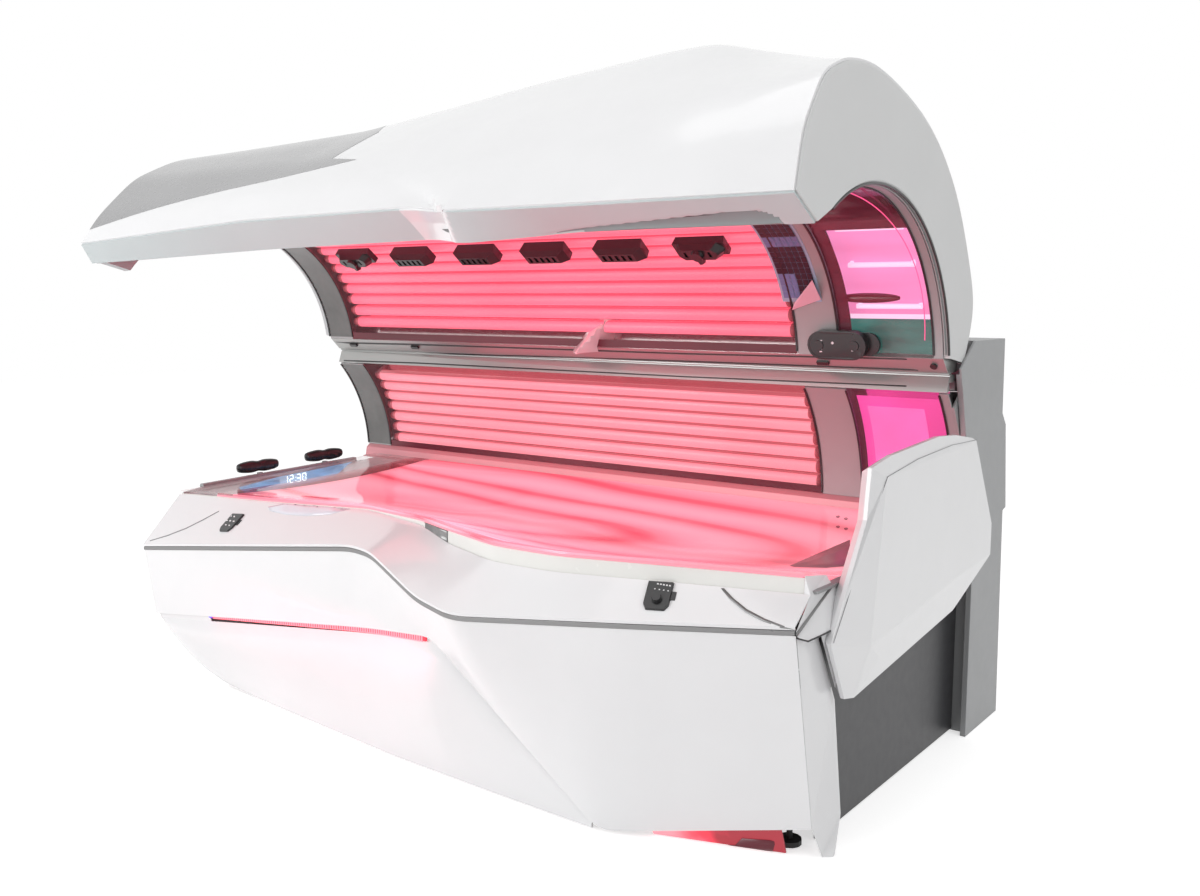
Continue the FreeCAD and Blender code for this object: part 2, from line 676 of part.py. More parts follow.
def mains_inlet():
    y = REAR_SHEET_Y + SHEET + SEAT
    x, z = -860, 90
    flange = prism_y(ring(x, z, 46, ROUND_SIDES), y, y + 14)
    socket = fused([flange, prism_y(ring(x, z, 30, ROUND_SIDES), y + 13, y + 40)])
    return socket.cut(prism_y(ring(x, z, 18, ROUND_SIDES), y + 8, y + 41))


# ---------------------------------------------------------------- lying surface
def bench_z(y, row):
    """Height of the lying surface at y in one section of EDGE."""
    x, ey, ez, sag = row
    front, back = ey + BENCH_FLAT, BENCH_BACK_Y - BENCH_FLAT
    u = min(max((back - y) / (back - front), 0), 1)
    return BENCH_BACK_Z + (ez - BENCH_BACK_Z) * u - sag * 4 * u * (1 - u)


def bench_low(y):
    """Lowest height of the lying surface over all its sections."""
    return min(bench_z(y, row) for row in EDGE)


def bench_hinge():
    """Axis (y, z) that the lying surface lifts about: its rounded rear edge."""
    return BENCH_BACK_Y - BENCH_SHEET / 2, BENCH_BACK_Z - BENCH_SHEET / 2


def bench_acrylic():
    steps = 8
    sections = []
    for row in EDGE:
        x, ey = row[0], row[1]
        front, back = ey + BENCH_FLAT, BENCH_BACK_Y - BENCH_FLAT
        ys = [ey] + [front + (back - front) * i / steps for i in range(steps + 1)]
        ys.append(bench_hinge()[0])
        top = [(x, y, bench_z(y, row)) for y in ys]
        sections.append(top + [(x, y, z - BENCH_SHEET) for x, y, z in top[::-1]])
    bead = bar_x(*bench_hinge(), BENCH_SHEET, EDGE[0][0], EDGE[-1][0])
    return facet_loft(sections).fuse(bead)


def bench_tray_z(y):
    return bench_low(y) - BENCH_SHEET - TUBE_GAP - TUBE_D - TRAY_GAP


def bench_facets():
    """Corners of the bench reflector, which has one flat under each lamp."""
    pitch = 2 * BENCH_LAMP_Y / (BENCH_LAMPS - 1)
    ys = [pitch * (i - BENCH_LAMPS / 2) for i in range(BENCH_LAMPS + 1)]
    return [(y, bench_tray_z(y)) for y in ys]


def tray_under(y, w):
    return min(bench_tray_z(y + w * i / 4) for i in range(5)) - SHEET - SEAT


def bench_tray():
    top = bench_facets()
    return prism_x(top + [(y, z - SHEET) for y, z in top[::-1]], BENCH_LAMP_X - 20, FACE_X1 - 10)


def console():
    """Shelf under the foot end of the lying surface, and the display tilted over it."""
    z = 538
    shelf = box(BOW[0][0] + SKIN + SEAT, BENCH_LAMP_X - 24, -425, 386, z, z + 3)
    display = prism_z(DISPLAY, -10, 0)
    display.Placement = FreeCAD.Placement(V(0, 0, DISPLAY_Z),
                                          FreeCAD.Rotation(V(1, 0, 0), DISPLAY_TILT))
    posts = [box(-1010, -1000, y, y + 10, z + 2, DISPLAY_Z - 10) for y in (-250, 100)]
    return group([fused([shelf, display] + posts)])


# ---------------------------------------------------------------- lamps and trays
def lamp_tube(y, z, x0, x1):
    """Thin glass tube, closed by a thicker cap at each end."""
    hollow = prism_x(ring(y, z, TUBE_D - 2 * TUBE_WALL, LAMP_SIDES), x0 + CAP_L, x1 - CAP_L)
    return prism_x(ring(y, z, TUBE_D, LAMP_SIDES), x0, x1).cut(hollow)


def lamps(places, x0, x1):
    gap = HOLDER_L + SEAT
    return [lamp_tube(y, z, x0 + gap, x1 - gap) for y, z, a, leg in places]


def lampholder(y, z, a, leg, x0):
    """Hexagonal head with a foot that stands on the tray; a is the way to the tray."""
    w = HOLDER_W / 2
    outline = [(-w, -w / 2), (-w / 2, -w), (w / 2, -w), (w, -w / 2), (w, leg - SEAT), (-w, leg - SEAT)]
    s, c = math.sin(math.radians(a)), math.cos(math.radians(a))
    points = [(y + v * c - u * s, z + v * s + u * c) for u, v in outline]
    return prism_x(points, x0, x0 + HOLDER_L)


def lampholders(places, x0, x1):
    return [lampholder(*p, x) for p in places for x in (x0, x1 - HOLDER_L)]


def arc_places(centre, r, a0, a1):
    """Lamp axes along an arc, with the way to the tray and its distance."""
    step = math.degrees(TUBE_PITCH / (r + TUBE_R))
    room = math.degrees(TUBE_D / 2 / (r + TUBE_R))
    count = int((a1 - a0 - 2 * room) / step) + 1
    start = (a0 + a1 - step * (count - 1)) / 2
    rise = r + TRAY_R - math.sqrt((r + TRAY_R) ** 2 - (HOLDER_W / 2) ** 2)
    return [polar(*centre, r + TUBE_R, start + step * i) + (start + step * i, LEG - rise)
            for i in range(count)]


def bench_places():
    out = []
    facets = bench_facets()
    for (y0, z0), (y1, z1) in zip(facets, facets[1:]):
        slope = (z1 - z0) / (y1 - y0)
        leg = LEG * math.cos(math.atan(slope))
        out.append(((y0 + y1) / 2, (z0 + z1) / 2 + LEG, math.degrees(math.atan2(-1, slope)), leg))
    return out


def ribs(centre, r, a0, a1, web_a1):
    """Curved end ribs and divider, each a curved plate on a web up to the tray."""
    spans = [(FOOT_X, FIELD_X0 - SEAT, FOOT_X),
             (DIVIDER_X + SEAT, FACE_X0 - SEAT, DIVIDER_X + DIVIDER_W / 2),
             (FACE_X1 + SEAT, RAIL_X, FACE_X1 + SEAT)]
    out = []
    for x0, x1, web in spans:
        plate = sector(centre, r, r + ACRYLIC, a0, a1, x0, x1)
        wall = sector(centre, r + ACRYLIC - 1, r + TRAY_R - SEAT, a0, web_a1, web, web + 3)
        out.append(fused([plate, wall]))
    return out


def panes(centre, r, a0, a1):
    return group([sector(centre, r, r + ACRYLIC, a0, a1, x0, x1)
                  for x0, x1 in ((FIELD_X0, DIVIDER_X), (FACE_X0, FACE_X1))])


def tray(centre, r, a0, a1, x1):
    return sector(centre, r + TRAY_R, r + TRAY_R + SHEET, a0, a1, FOOT_X, x1)


def side_ends():
    """Flat plates that close both ends of the side panel."""
    spans = ((FOOT_X - PLATE - SEAT, FOOT_X - SEAT), (RAIL_X + SEAT, RAIL_X + SEAT + PLATE))
    return [sector(SIDE, SIDE_R, SIDE_R + TRAY_R, SIDE_A0, SIDE_TRAY_A1, x0, x1)
            for x0, x1 in spans]


def face_lamps():
    """Short lamps across the face field, each standing in a curved reflector."""
    out = []
    r = TUNNEL_R + TRAY_R
    for a in FACE_LAMP_A:
        y, z = polar(*TUNNEL, r - 18, a)
        dish = sector(TUNNEL, r - 3, r - SEAT, a - 6, a + 6, FACE_X0 + 10, FACE_X1 - 10)
        tube = prism_x(ring(y, z, FACE_LAMP_D, LAMP_SIDES), FACE_X0 + 40, FACE_X1 - 40)
        posts = [sector(TUNNEL, r - 20, r - 2, a - 0.6, a + 0.6, x, x + 8)
                 for x in (FACE_X0 + 42, FACE_X1 - 50)]
        out.append(fused([dish, tube] + posts))
    return group(out)


# ---------------------------------------------------------------- rails
def lower_rail():
    """Extruded top rail of the side panel, with the bead of the canopy hinge on its top."""
    pane_y, pane_z = polar(*SIDE, SIDE_R, SIDE_A1)
    z = pane_z + ACRYLIC
    outline = [(pane_y - 9, z), (301, 1003.5), (345, 1003.5), (LOWER_RAIL_BACK, 990),
               (LOWER_RAIL_BACK, z + 3), (342, z + 3), (342, 984), (300, 984), (pane_y + 6, z)]
    ring = HINGE_R + 2 * HINGE_FIT + HINGE_LIP
    channel = bar_x(HINGE_Y, HINGE_Z, 2 * ring, FOOT_X - 1, RAIL_X + 1)
    neck = box(FOOT_X, RAIL_X, HINGE_Y - 1.5, HINGE_Y + 1.5, HINGE_Z - ring - 2, HINGE_Z)
    bead = bar_x(HINGE_Y, HINGE_Z, 2 * HINGE_R, FOOT_X, RAIL_X)
    return fused([prism_x(outline, FOOT_X, RAIL_X).cut(channel), neck, bead])


def upper_rail_outline():
    a = TUNNEL_A0 - math.degrees(SEAT / TUNNEL_R)
    return [polar(*TUNNEL, TUNNEL_R, a), (290, 1009), (345, 1009), (RAIL_BACK, 1013),
            (RAIL_BACK, 1036), (338, 1048), polar(*TUNNEL, TUNNEL_R + TRAY_R + SHEET, a)]


def upper_rail():
    """Extruded bottom rail of the canopy, with the hook of the hinge round the bead."""
    bore = HINGE_R + HINGE_FIT
    hook = bar_x(HINGE_Y, HINGE_Z, 2 * (bore + HINGE_LIP), FOOT_X, RAIL_X)
    mouth = [(HINGE_Y, HINGE_Z)]
    mouth += [polar(HINGE_Y, HINGE_Z, 24, b) for b in (-62, -90, -125, -160)]
    body = fused([prism_x(upper_rail_outline(), FOOT_X, RAIL_X), hook])
    body = body.cut(bar_x(HINGE_Y, HINGE_Z, 2 * bore, FOOT_X - 1, RAIL_X + 1))
    return body.cut(prism_x(mouth, FOOT_X - 1, RAIL_X + 1))


def rail_clips():
    """Small clips on the face of the canopy's rail, and a round lock at its head end."""
    line = upper_rail_outline()
    a, b = line[0], line[1]
    n = inset([a, b], -1.0)
    out_y, out_z = n[0][0] - a[0], n[0][1] - a[1]
    if out_y > 0:
        out_y, out_z = -out_y, -out_z
    parts = []
    for x in (-1062, -746, 806):
        p, q = mix(a, b, 0.42), mix(a, b, 0.62)
        near = [(u + out_y * SEAT, v + out_z * SEAT) for u, v in (p, q)]
        far = [(u + out_y * 7, v + out_z * 7) for u, v in (q, p)]
        parts.append(prism_x(near + far, x - 17, x + 17))
    p = mix(a, b, 0.5)
    base = V(1112, p[0] + out_y * SEAT, p[1] + out_z * SEAT)
    parts.append(Part.makeCylinder(9, 5, base, V(0, out_y, out_z)))
    return group(parts)


def base_rail():
    """Rail under the side pane, with a lip under the rear edge of the lying surface."""
    y0, z0 = polar(*SIDE, SIDE_R, SIDE_A0)
    lip = BENCH_BACK_Z - BENCH_SHEET - SEAT
    back = BENCH_BACK_Y + RUN
    outline = [(back - 12, lip - 5), (back - 12, lip), (back, lip), (back + 6, 630),
               (y0 - 1, z0 - SEAT), (y0 + 7, z0 - SEAT), (BASE_RAIL_BACK, 634),
               (BASE_RAIL_BACK, lip - 5)]
    return prism_x(outline, FOOT_X, RAIL_X)


# ---------------------------------------------------------------- canopy
def grow(point):
    """Move a point of the canopy's outline with the radius of the tunnel."""
    drawn_y = TUNNEL[0] + TUNNEL_R * (1 - 1 / CANOPY_GROWTH)
    return (TUNNEL[0] + (point[0] - drawn_y) * CANOPY_GROWTH,
            TUNNEL_Z + (point[1] - TUNNEL_Z) * CANOPY_GROWTH)


def canopy_line(x):
    """Outer line of the canopy at x."""
    x = min(max(x, CANOPY[0][0]), CANOPY[-1][0])
    for (xa, a), (xb, b) in zip(CANOPY, CANOPY[1:]):
        if x <= xb:
            t = (x - xa) / (xb - xa)
            raw = [mix(p, q, t) for p, q in zip(a, b)]
            grown = [grow(p) for p in raw[:-1]] + raw[-1:]
            return soften(grown, SOFT_FROM, SOFT_STEPS)


def inner_line(x, gap):
    """Line inside the shell at x, straight between the shell's own sections."""
    for a, b in zip(CANOPY, CANOPY[1:]):
        if x <= b[0]:
            t = (x - a[0]) / (b[0] - a[0])
            ends = [inset(canopy_line(q), gap) for q in (a[0], b[0])]
            return [mix(p, q, t) for p, q in zip(*ends)]


def canopy_full():
    """Moulded shell above the front fascia."""
    sections = []
    for x, raw in CANOPY:
        line = canopy_line(x)
        sections.append([(x, y, z) for y, z in line[1:] + inset(line, SKIN)[:0:-1]])
    return loft(sections)


def canopy_fascia():
    """Front strip of the canopy below the shell."""
    sections = []
    for x, raw in CANOPY:
        line = canopy_line(x)
        inner = inset(line, SKIN)
        top = [step_from(line[1], line[0], SEAT), step_from(inner[1], inner[0], SEAT)]
        sections.append([(x, y, z) for y, z in (line[0], top[0], top[1], inner[0])])
    return loft(sections)


def silver_prism(gap):
    """Space of the silver cover, less a gap all round."""
    outline = SILVER_LINE + [(SILVER_LINE[0][0], SILVER_LINE[-1][1])]
    face = Part.Face(wire([(x, y, 900) for x, y in outline]))
    if gap:
        face = face.makeOffset2D(-gap, join=2)
    return face.extrude(V(0, 0, 1000))


def canopy_lip():
    """Extrusion between the fascia and the front end of the canopy's pane and tray."""
    a = TUNNEL_A1 + math.degrees(SEAT / TUNNEL_R)
    near, far = polar(*TUNNEL, TUNNEL_R, a), polar(*TUNNEL, TUNNEL_R + TRAY_R + SHEET, a)
    sections = []
    for x in [FOOT_X] + [c[0] for c in CANOPY[1:-1]] + [BULK_X - SEAT]:
        inner = inner_line(x, SKIN + SEAT)
        top = step_from(inner[0], inner[1], 30)
        sections.append([(x, y, z) for y, z in (near, far, top, inner[0])])
    return loft(sections)


def end_wall(x0, x1):
    """End wall of the canopy, filling the shell."""
    return loft([[(x, y, z) for y, z in inner_line(x, SKIN + 2 * SEAT)] for x in (x0, x1)])


def end_cuts():
    """Room for the panes, ribs and rail in the end walls of the canopy."""
    r = TUNNEL_R + ACRYLIC + SEAT
    line = upper_rail_outline()
    rail = [(line[0][0] - 20, 1000), (line[0][0] - 20, line[0][1] + 2), (line[6][0], line[6][1] + SEAT),
            (line[5][0] + SEAT, line[5][1] + SEAT), (RAIL_BACK + SEAT, 1036 + SEAT),
            (RAIL_BACK + SEAT, 1000)]
    return group([bar_x(*TUNNEL, 2 * r, -1300, 1300), prism_x(rail, -1300, 1300)])


def end_plug(x0):
    """Short step that joins the head end wall to its cap."""
    line = inset(canopy_line(CAP_X), SKIN + 4 * SEAT)
    return prism_x(line, CAP_X - 2, x0 + 2)


def canopy_end_head():
    line = canopy_line(CAP_X)
    x0, x1 = CAP_X + SEAT, CAP_X + CAP_T
    cap = loft([[(x0, y, z) for y, z in line], [(x1, y, z) for y, z in inset(line, 4.0)]])
    return fused([end_wall(BULK_X, CAP_X), end_plug(x0), cap]).cut(end_cuts())


def canopy_end_foot():
    return end_wall(CANOPY[0][0], FOOT_X - SEAT).cut(end_cuts())


def on_pane(shape, a, half, x):
    """Stand a shape with a flat back of +-half on the tunnel's pane, facing its axis."""
    r = math.sqrt(TUNNEL_R ** 2 - half ** 2) - SEAT
    y, z = polar(*TUNNEL, r, a)
    shape = shape.copy()
    shape.Placement = FreeCAD.Placement(V(x, y, z), FreeCAD.Rotation(V(1, 0, 0), a + 90))
    return shape


def outlet_section(z, half_w, front, back):
    return [(-half_w, -back, z), (half_w, -back, z), (half_w, front, z), (-half_w, front, z)]


def outlet_body():
    """Air outlet: flared box with a narrower slotted face towards the user."""
    w, h = OUTLET_W / 2, OUTLET_H / 2
    body = loft([outlet_section(0, w, h, h), outlet_section(OUTLET_T * 0.64, w + 8, h - 4, h - 4),
                 outlet_section(OUTLET_T, w - 15, h - 12, h - 9)])
    slots = [box(x - 5, x + 5, -12, 9, OUTLET_T - 5, OUTLET_T + 1) for x in range(-44, 45, 22)]
    return body.cut(group(slots))


def swivel_box():
    """Fixed box with a round seat for a turning nozzle."""
    w, h = OUTLET_W / 2, OUTLET_H / 2
    body = loft([outlet_section(0, w, h, h), outlet_section(SWIVEL_SEAT, w + 5, h - 3, h - 3)])
    return body.cut(bar_z(0, 0, 30 + 2 * SEAT, SWIVEL_SEAT - 14, SWIVEL_SEAT + 1))


def air_outlets():
    boxes = [on_pane(outlet_body(), OUTLET_A, OUTLET_H / 2, x) for x in OUTLET_X]
    seats = [on_pane(swivel_box(), OUTLET_A, OUTLET_H / 2, x) for x in SWIVEL_X]
    return group(boxes + seats)


def swivel_nozzle(i):
    """Turning nozzle head: stub in its seat, hexagonal slotted head, hub and snout."""
    z = SWIVEL_SEAT + SEAT
    head = [(-74, -6), (-58, -26), (58, -26), (74, -6), (74, 8), (58, 24), (-58, 24), (-74, 8)]
    body = facet_loft([[(x, y, z) for x, y in head],
                       [(x * 0.8, y * 0.78, z + 20) for x, y in head]])
    hub = facet_loft([[(x, y, h) for x, y in ring(0, 0, d, ROUND_SIDES)]
                      for d, h in ((44, z), (34, z + 30))])
    snout = loft([[(-10, -24, z + 6), (10, -24, z + 6), (10, 0, z + 26), (-10, 0, z + 26)],
                  [(-4, -38, z + 14), (4, -38, z + 14), (4, -30, z + 28), (-4, -30, z + 28)]])
    stub = bar_z(0, 0, 30, SWIVEL_SEAT - 13, z + 1)
    slots = [box(s * x - 4, s * x + 4, -10, 10, z + 14, z + 21) for x in (37,) for s in (-1, 1)]
    return on_pane(fused([body, hub, snout, stub]).cut(group(slots)), OUTLET_A, OUTLET_H / 2,
                   SWIVEL_X[i])


def stadium(length, height, z0, z1):
    """Plate with round ends, each of ten flats."""
    c = (length - height) / 2
    right = [polar(c, 0, height / 2, a) for a in range(-90, 91, 18)]
    left = [polar(-c, 0, height / 2, a) for a in range(90, 271, 18)]
    return prism_z(right + left, z0, z1)


def control_pod():
    """Rounded hand control on an arm at the face pane, with wells for its two keys."""
    body = stadium(POD_L, POD_H, 8, POD_T)
    arm = stadium(POD_L * 0.94, POD_H * 0.8, 0, 10)
    arm.Placement = FreeCAD.Placement(V(34, 0, 0), FreeCAD.Rotation())
    lens = stadium(POD_L - 12, POD_H - 12, POD_T - 1, POD_T + 1)
    wells = [prism_z(ring(s * KEY_X, 0, KEY_D + 3 * SEAT, KEY_SIDES), POD_T - 8, POD_T + 1)
             for s in (-1, 1)]
    return on_pane(fused([body, arm]).cut(group([lens] + wells)), POD_A, POD_H * 0.4, POD_X)


def pod_key(side):
    key = prism_z(ring(side * KEY_X, 0, KEY_D, KEY_SIDES), POD_T - 5, POD_T - 1 + KEY_OUT)
    return on_pane(key, POD_A, POD_H * 0.4, POD_X)


# ---------------------------------------------------------------- controls of the base
def on_rim(shape, x, s):
    """Stand a shape on the rim, square to its slope both ways."""
    here = V(x, *rim_point(x, s))
    along = V(x + 40, *rim_point(x + 40, s)) - V(x - 40, *rim_point(x - 40, s))
    up = V(x, *rim_point(x, s + 0.1)) - here
    turn = FreeCAD.Placement(here, FreeCAD.Rotation(along, up, V(0, 0, 1), "XYZ"))
    shape = shape.copy()
    shape.Placement = turn.multiply(FreeCAD.Placement(V(0, 0, RIM_LIFT), FreeCAD.Rotation()))
    return shape


def keypads():
    """Touch panels on the rim, each with a socket block at its side."""
    w, l, t = KEYPAD_W / 2, KEYPAD_L / 2, KEYPAD_T
    plan = [(-w + 8, -l), (w - 8, -l), (w, -l + 14), (w, l), (-w, l), (-w, -l + 14)]
    out = []
    for x, s in KEYPAD_AT:
        body = loft([[(a, b, 0) for a, b in plan], [(a * 0.94, b * 0.94, t) for a, b in plan]])
        clip = box(w - 2, w + 9, -8, 14, 0, 5)
        out.append(on_rim(fused([body, clip]), x, s))
    return group(out)


def volume_knob():
    """Fluted knob with a round foot, on the head-side touch panel."""
    z, r = KEYPAD_T + SEAT, KNOB_D / 2
    foot = bar_z(0, KNOB_Y, KNOB_D, z, z + 2)
    rows = []
    for h, taper in ((2, 0.5), (KNOB_H, 2)):
        rows.append([polar(0, KNOB_Y, r - taper - i % 2, 18 * i) + (z + h,) for i in range(20)])
    return on_rim(foot.fuse(facet_loft(rows)), *KEYPAD_AT[1])


def foot_bar_z(y):
    """Top of the foot bar, which rises towards the rear."""
    return FOOT_BAR_Z + at([(-355, -8), (300, 8)], y)[0]


def foot_rail():
    """Bar across the foot end, with a round seat for each nozzle."""
    x, w = FOOT_BAR_X, FOOT_BAR_W
    outline = [(x, -22), (x, -7), (x + 4, 0), (x + w - 2, 0), (x + w, -4), (x + w, -8),
               (x + 6, -8), (x + 6, -22)]
    bar = loft([[(a, y, foot_bar_z(y) + b) for a, b in outline] for y in (-355, 300)])
    seats = [bar_z(NOZZLE_X, y, NOZZLE_SEAT, foot_bar_z(y) - 4, foot_bar_z(y) + 4)
             for y in NOZZLE_Y]
    return fused([bar] + seats)


def foot_nozzle(i):
    """Turning air jet on the foot bar: a low waisted body with a raised spout."""
    x, y, s = NOZZLE_X, NOZZLE_Y[i], (1, -1)[i]
    z = foot_bar_z(y) + 4 + SEAT
    plan = [(-21, -88), (-1, -84), (9, -40), (6, -12), (10, 30), (7, 84), (-21, 84), (-25, 30),
            (-20, -12), (-23, -40)]
    rows = [(2, 0.9), (11, 1.0), (24, 0.72)]
    body = facet_loft([[(x - 7 + (a + 7) * k, y + s * b * (0.9 + 0.1 * k), z + h)
                        for a, b in plan] for h, k in rows])
    spout = facet_loft([[(u, v, z + h) for u, v in ring(x - 7, y + s * 60, d, ROUND_SIDES)]
                        for d, h in ((32, 14), (26, 34))])
    return fused([body, spout, bar_z(x, y, NOZZLE_SEAT - 2, z, z + 3)])


# ---------------------------------------------------------------- inside the base
def ballasts():
    """Lamp ballasts in a row on the two middle cross members."""
    w, d, h = BALLAST
    z = FRAME_Z + FRAME_T + SEAT
    out = []
    for x in cross_xs()[1:3]:
        x0 = x + FRAME_T / 2 - w / 2
        out += [box(x0, x0 + w, y, y + d, z, z + h) for y in range(-330, 250, 112)]
    return group(out)


def fan_housing():
    """Square cooling fan behind the louvres, its motor held by a cross."""
    y1 = REAR_SHEET_Y - SEAT
    y0, half = y1 - FAN_H, FAN_D / 2 + 10
    body = box(FAN_X - half, FAN_X + half, y0, y1, FAN_Z - half, FAN_Z + half)
    body = body.cut(bar_y(FAN_X, FAN_Z, FAN_D, y0 - 1, y1 + 1))
    arms = [box(FAN_X - half + 2, FAN_X + half - 2, y0, y0 + 5, FAN_Z - 6, FAN_Z + 6),
            box(FAN_X - 6, FAN_X + 6, y0, y0 + 5, FAN_Z - half + 2, FAN_Z + half - 2)]
    motor = prism_y(ring(FAN_X, FAN_Z, FAN_HUB - 4, ROUND_SIDES), y0, y0 + 16)
    shaft = bar_y(FAN_X, FAN_Z, 8, y0 + 10, y1 - 8)
    return fused([body] + arms + [motor, shaft])


def fan_rotor():
    y1 = REAR_SHEET_Y - SEAT - 6
    y0 = REAR_SHEET_Y - SEAT - FAN_H + 16 + RUN
    hub = prism_y(ring(0, 0, FAN_HUB, KEY_SIDES), y0, y1)
    half = 28
    root, tip = FAN_HUB / 2 - 4, math.sqrt((FAN_D / 2 - 3 * RUN) ** 2 - half ** 2)
    outline = [(y0 + 2, -half / 2), (y0 + 6, -half / 2), (y1 - 2, half / 2), (y1 - 6, half / 2)]
    blades = []
    for i in range(FAN_BLADES):
        blade = facet_loft([[(x, y, z * k) for y, z in outline] for x, k in ((root, 1), (tip, 2))])
        blade.rotate(V(0, 0, 0), V(0, 1, 0), 360 / FAN_BLADES * i)
        blades.append(blade)
    rotor = fused([hub] + blades).cut(bar_y(0, 0, 8 + 2 * SEAT, y0 - 1, y1 + 1))
    rotor.translate(V(FAN_X, 0, FAN_Z))
    return rotor


# ---------------------------------------------------------------- all nodes
NODES = {}


def build_base():
    NODES["base_frame"] = base_frame()
    NODES["levelling_feet"] = levelling_feet()
    NODES["column_foot"] = column(-1)
    NODES["column_head"] = column(1)
    NODES["spring_cylinders"] = spring_cylinders()
    NODES["front_cover"] = front_cover()
    NODES["hull_cover"] = hull_cover()
    NODES["front_trim"] = front_trim()
    NODES["rim_cover"] = rim_cover()
    NODES["bench_band"] = bench_band()
    NODES["bench_liner"] = bench_liner()
    NODES["light_strips"] = light_strips()
    NODES["corner_cover"] = corner_cover()
    NODES["head_end_panel"] = head_end_panel()
    NODES["head_ledge"] = head_ledge()
    NODES["foot_end_cover"] = foot_end_cover()
    NODES["head_shield"] = head_shield()
    NODES["rear_cover"] = rear_cover()
    NODES["mains_inlet"] = mains_inlet()
    NODES["ballasts"] = ballasts()
    NODES["fan_housing"] = fan_housing()
    NODES["console"] = console()
    NODES["foot_rail"] = foot_rail()
    NODES["keypads"] = keypads()
    NODES["lower_rail"] = lower_rail()
    NODES["base_rail"] = base_rail()


def build_lamps():
    bench = bench_places()
    side = arc_places(SIDE, SIDE_R, SIDE_A0, SIDE_TRAY_A1)
    canopy = arc_places(TUNNEL, TUNNEL_R, TUNNEL_A0 + 3, TUNNEL_A1)
    field = (FIELD_X0, DIVIDER_X)
    bench_x = (BENCH_LAMP_X, FACE_X1 - 16)
    NODES["bench_tray"] = bench_tray()
    NODES["bench_lamps"] = group(lamps(bench, *bench_x))
    NODES["side_lamps"] = group(lamps(side, *field))
    NODES["base_holders"] = group(lampholders(bench, *bench_x) + lampholders(side, *field))
    NODES["side_tray"] = tray(SIDE, SIDE_R, SIDE_A0, SIDE_TRAY_A1, RAIL_X)
    NODES["side_ribs"] = group(ribs(SIDE, SIDE_R, SIDE_A0, SIDE_A1, SIDE_TRAY_A1) + side_ends())
    NODES["side_panes"] = panes(SIDE, SIDE_R, SIDE_A0, SIDE_A1)
    NODES["canopy_tray"] = tray(TUNNEL, TUNNEL_R, TUNNEL_A0, TUNNEL_A1, BULK_X - SEAT)
    NODES["canopy_lamps"] = group(lamps(canopy, *field))
    NODES["canopy_holders"] = group(lampholders(canopy, *field))
    NODES["canopy_ribs"] = group(ribs(TUNNEL, TUNNEL_R, TUNNEL_A0, TUNNEL_A1, TUNNEL_A1))
    NODES["canopy_panes"] = panes(TUNNEL, TUNNEL_R, TUNNEL_A0, TUNNEL_A1)
    NODES["face_lamps"] = face_lamps()


def build_canopy():
    full = canopy_full()
    NODES["canopy_shell"] = full.cut(silver_prism(0.0))
    NODES["canopy_silver"] = full.common(silver_prism(SEAT))
    NODES["canopy_fascia"] = canopy_fascia()
    NODES["canopy_lip"] = canopy_lip()
    NODES["canopy_end_head"] = canopy_end_head()
    NODES["canopy_end_foot"] = canopy_end_foot()
    NODES["upper_rail"] = upper_rail()
    NODES["rail_clips"] = rail_clips()
    NODES["hinge_levers"] = hinge_levers()
    NODES["air_outlets"] = air_outlets()
    NODES["control_pod"] = control_pod()


def build_moving():
    NODES["bench_acrylic"] = bench_acrylic()
    NODES["spring_rods"] = spring_rods()
    NODES["fan_rotor"] = fan_rotor()
    NODES["swivel_foot"] = swivel_nozzle(0)
    NODES["swivel_head"] = swivel_nozzle(1)
    NODES["foot_nozzle_front"] = foot_nozzle(0)
    NODES["foot_nozzle_rear"] = foot_nozzle(1)
    NODES["volume_knob"] = volume_knob()
    NODES["pod_key_1"] = pod_key(-1)
    NODES["pod_key_2"] = pod_key(1)


def export():
    os.makedirs("parts", exist_ok=True)
    for name, shape in NODES.items():
        shape.exportStep("parts/" + name + ".step")
        print("%-20s %3d solids  valid %-5s %8.3f l"
              % (name, len(shape.Solids), shape.isValid(), shape.Volume / 1e6))


build_base()
build_lamps()
build_canopy()
build_moving()
export()
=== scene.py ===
import bpy
import bmesh
import json
from math import atan2, cos, degrees, dist, exp, hypot, pi, radians, sin, sqrt
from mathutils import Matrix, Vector
from mathutils.bvhtree import BVHTree

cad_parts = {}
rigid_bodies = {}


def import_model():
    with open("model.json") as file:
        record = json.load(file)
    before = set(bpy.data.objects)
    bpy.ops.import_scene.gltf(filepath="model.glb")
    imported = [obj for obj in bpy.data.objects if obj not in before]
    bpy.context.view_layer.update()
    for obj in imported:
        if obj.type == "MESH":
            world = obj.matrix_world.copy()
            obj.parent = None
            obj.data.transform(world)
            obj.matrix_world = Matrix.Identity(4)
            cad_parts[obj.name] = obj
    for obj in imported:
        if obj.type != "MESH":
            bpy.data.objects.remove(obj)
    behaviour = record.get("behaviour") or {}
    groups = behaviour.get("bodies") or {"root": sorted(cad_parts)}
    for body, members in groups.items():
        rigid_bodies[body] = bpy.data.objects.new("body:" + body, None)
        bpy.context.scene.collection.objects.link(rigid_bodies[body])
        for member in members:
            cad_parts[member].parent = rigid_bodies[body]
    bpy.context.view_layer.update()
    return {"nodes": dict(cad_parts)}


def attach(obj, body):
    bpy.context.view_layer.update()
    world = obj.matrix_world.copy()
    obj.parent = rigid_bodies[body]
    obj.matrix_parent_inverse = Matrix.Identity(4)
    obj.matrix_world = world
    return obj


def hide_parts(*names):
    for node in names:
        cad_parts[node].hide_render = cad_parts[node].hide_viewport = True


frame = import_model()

# Lengths below are millimetres in the CAD frame; meshes are stored in metres.
NODES = frame["nodes"]
MM = 0.001

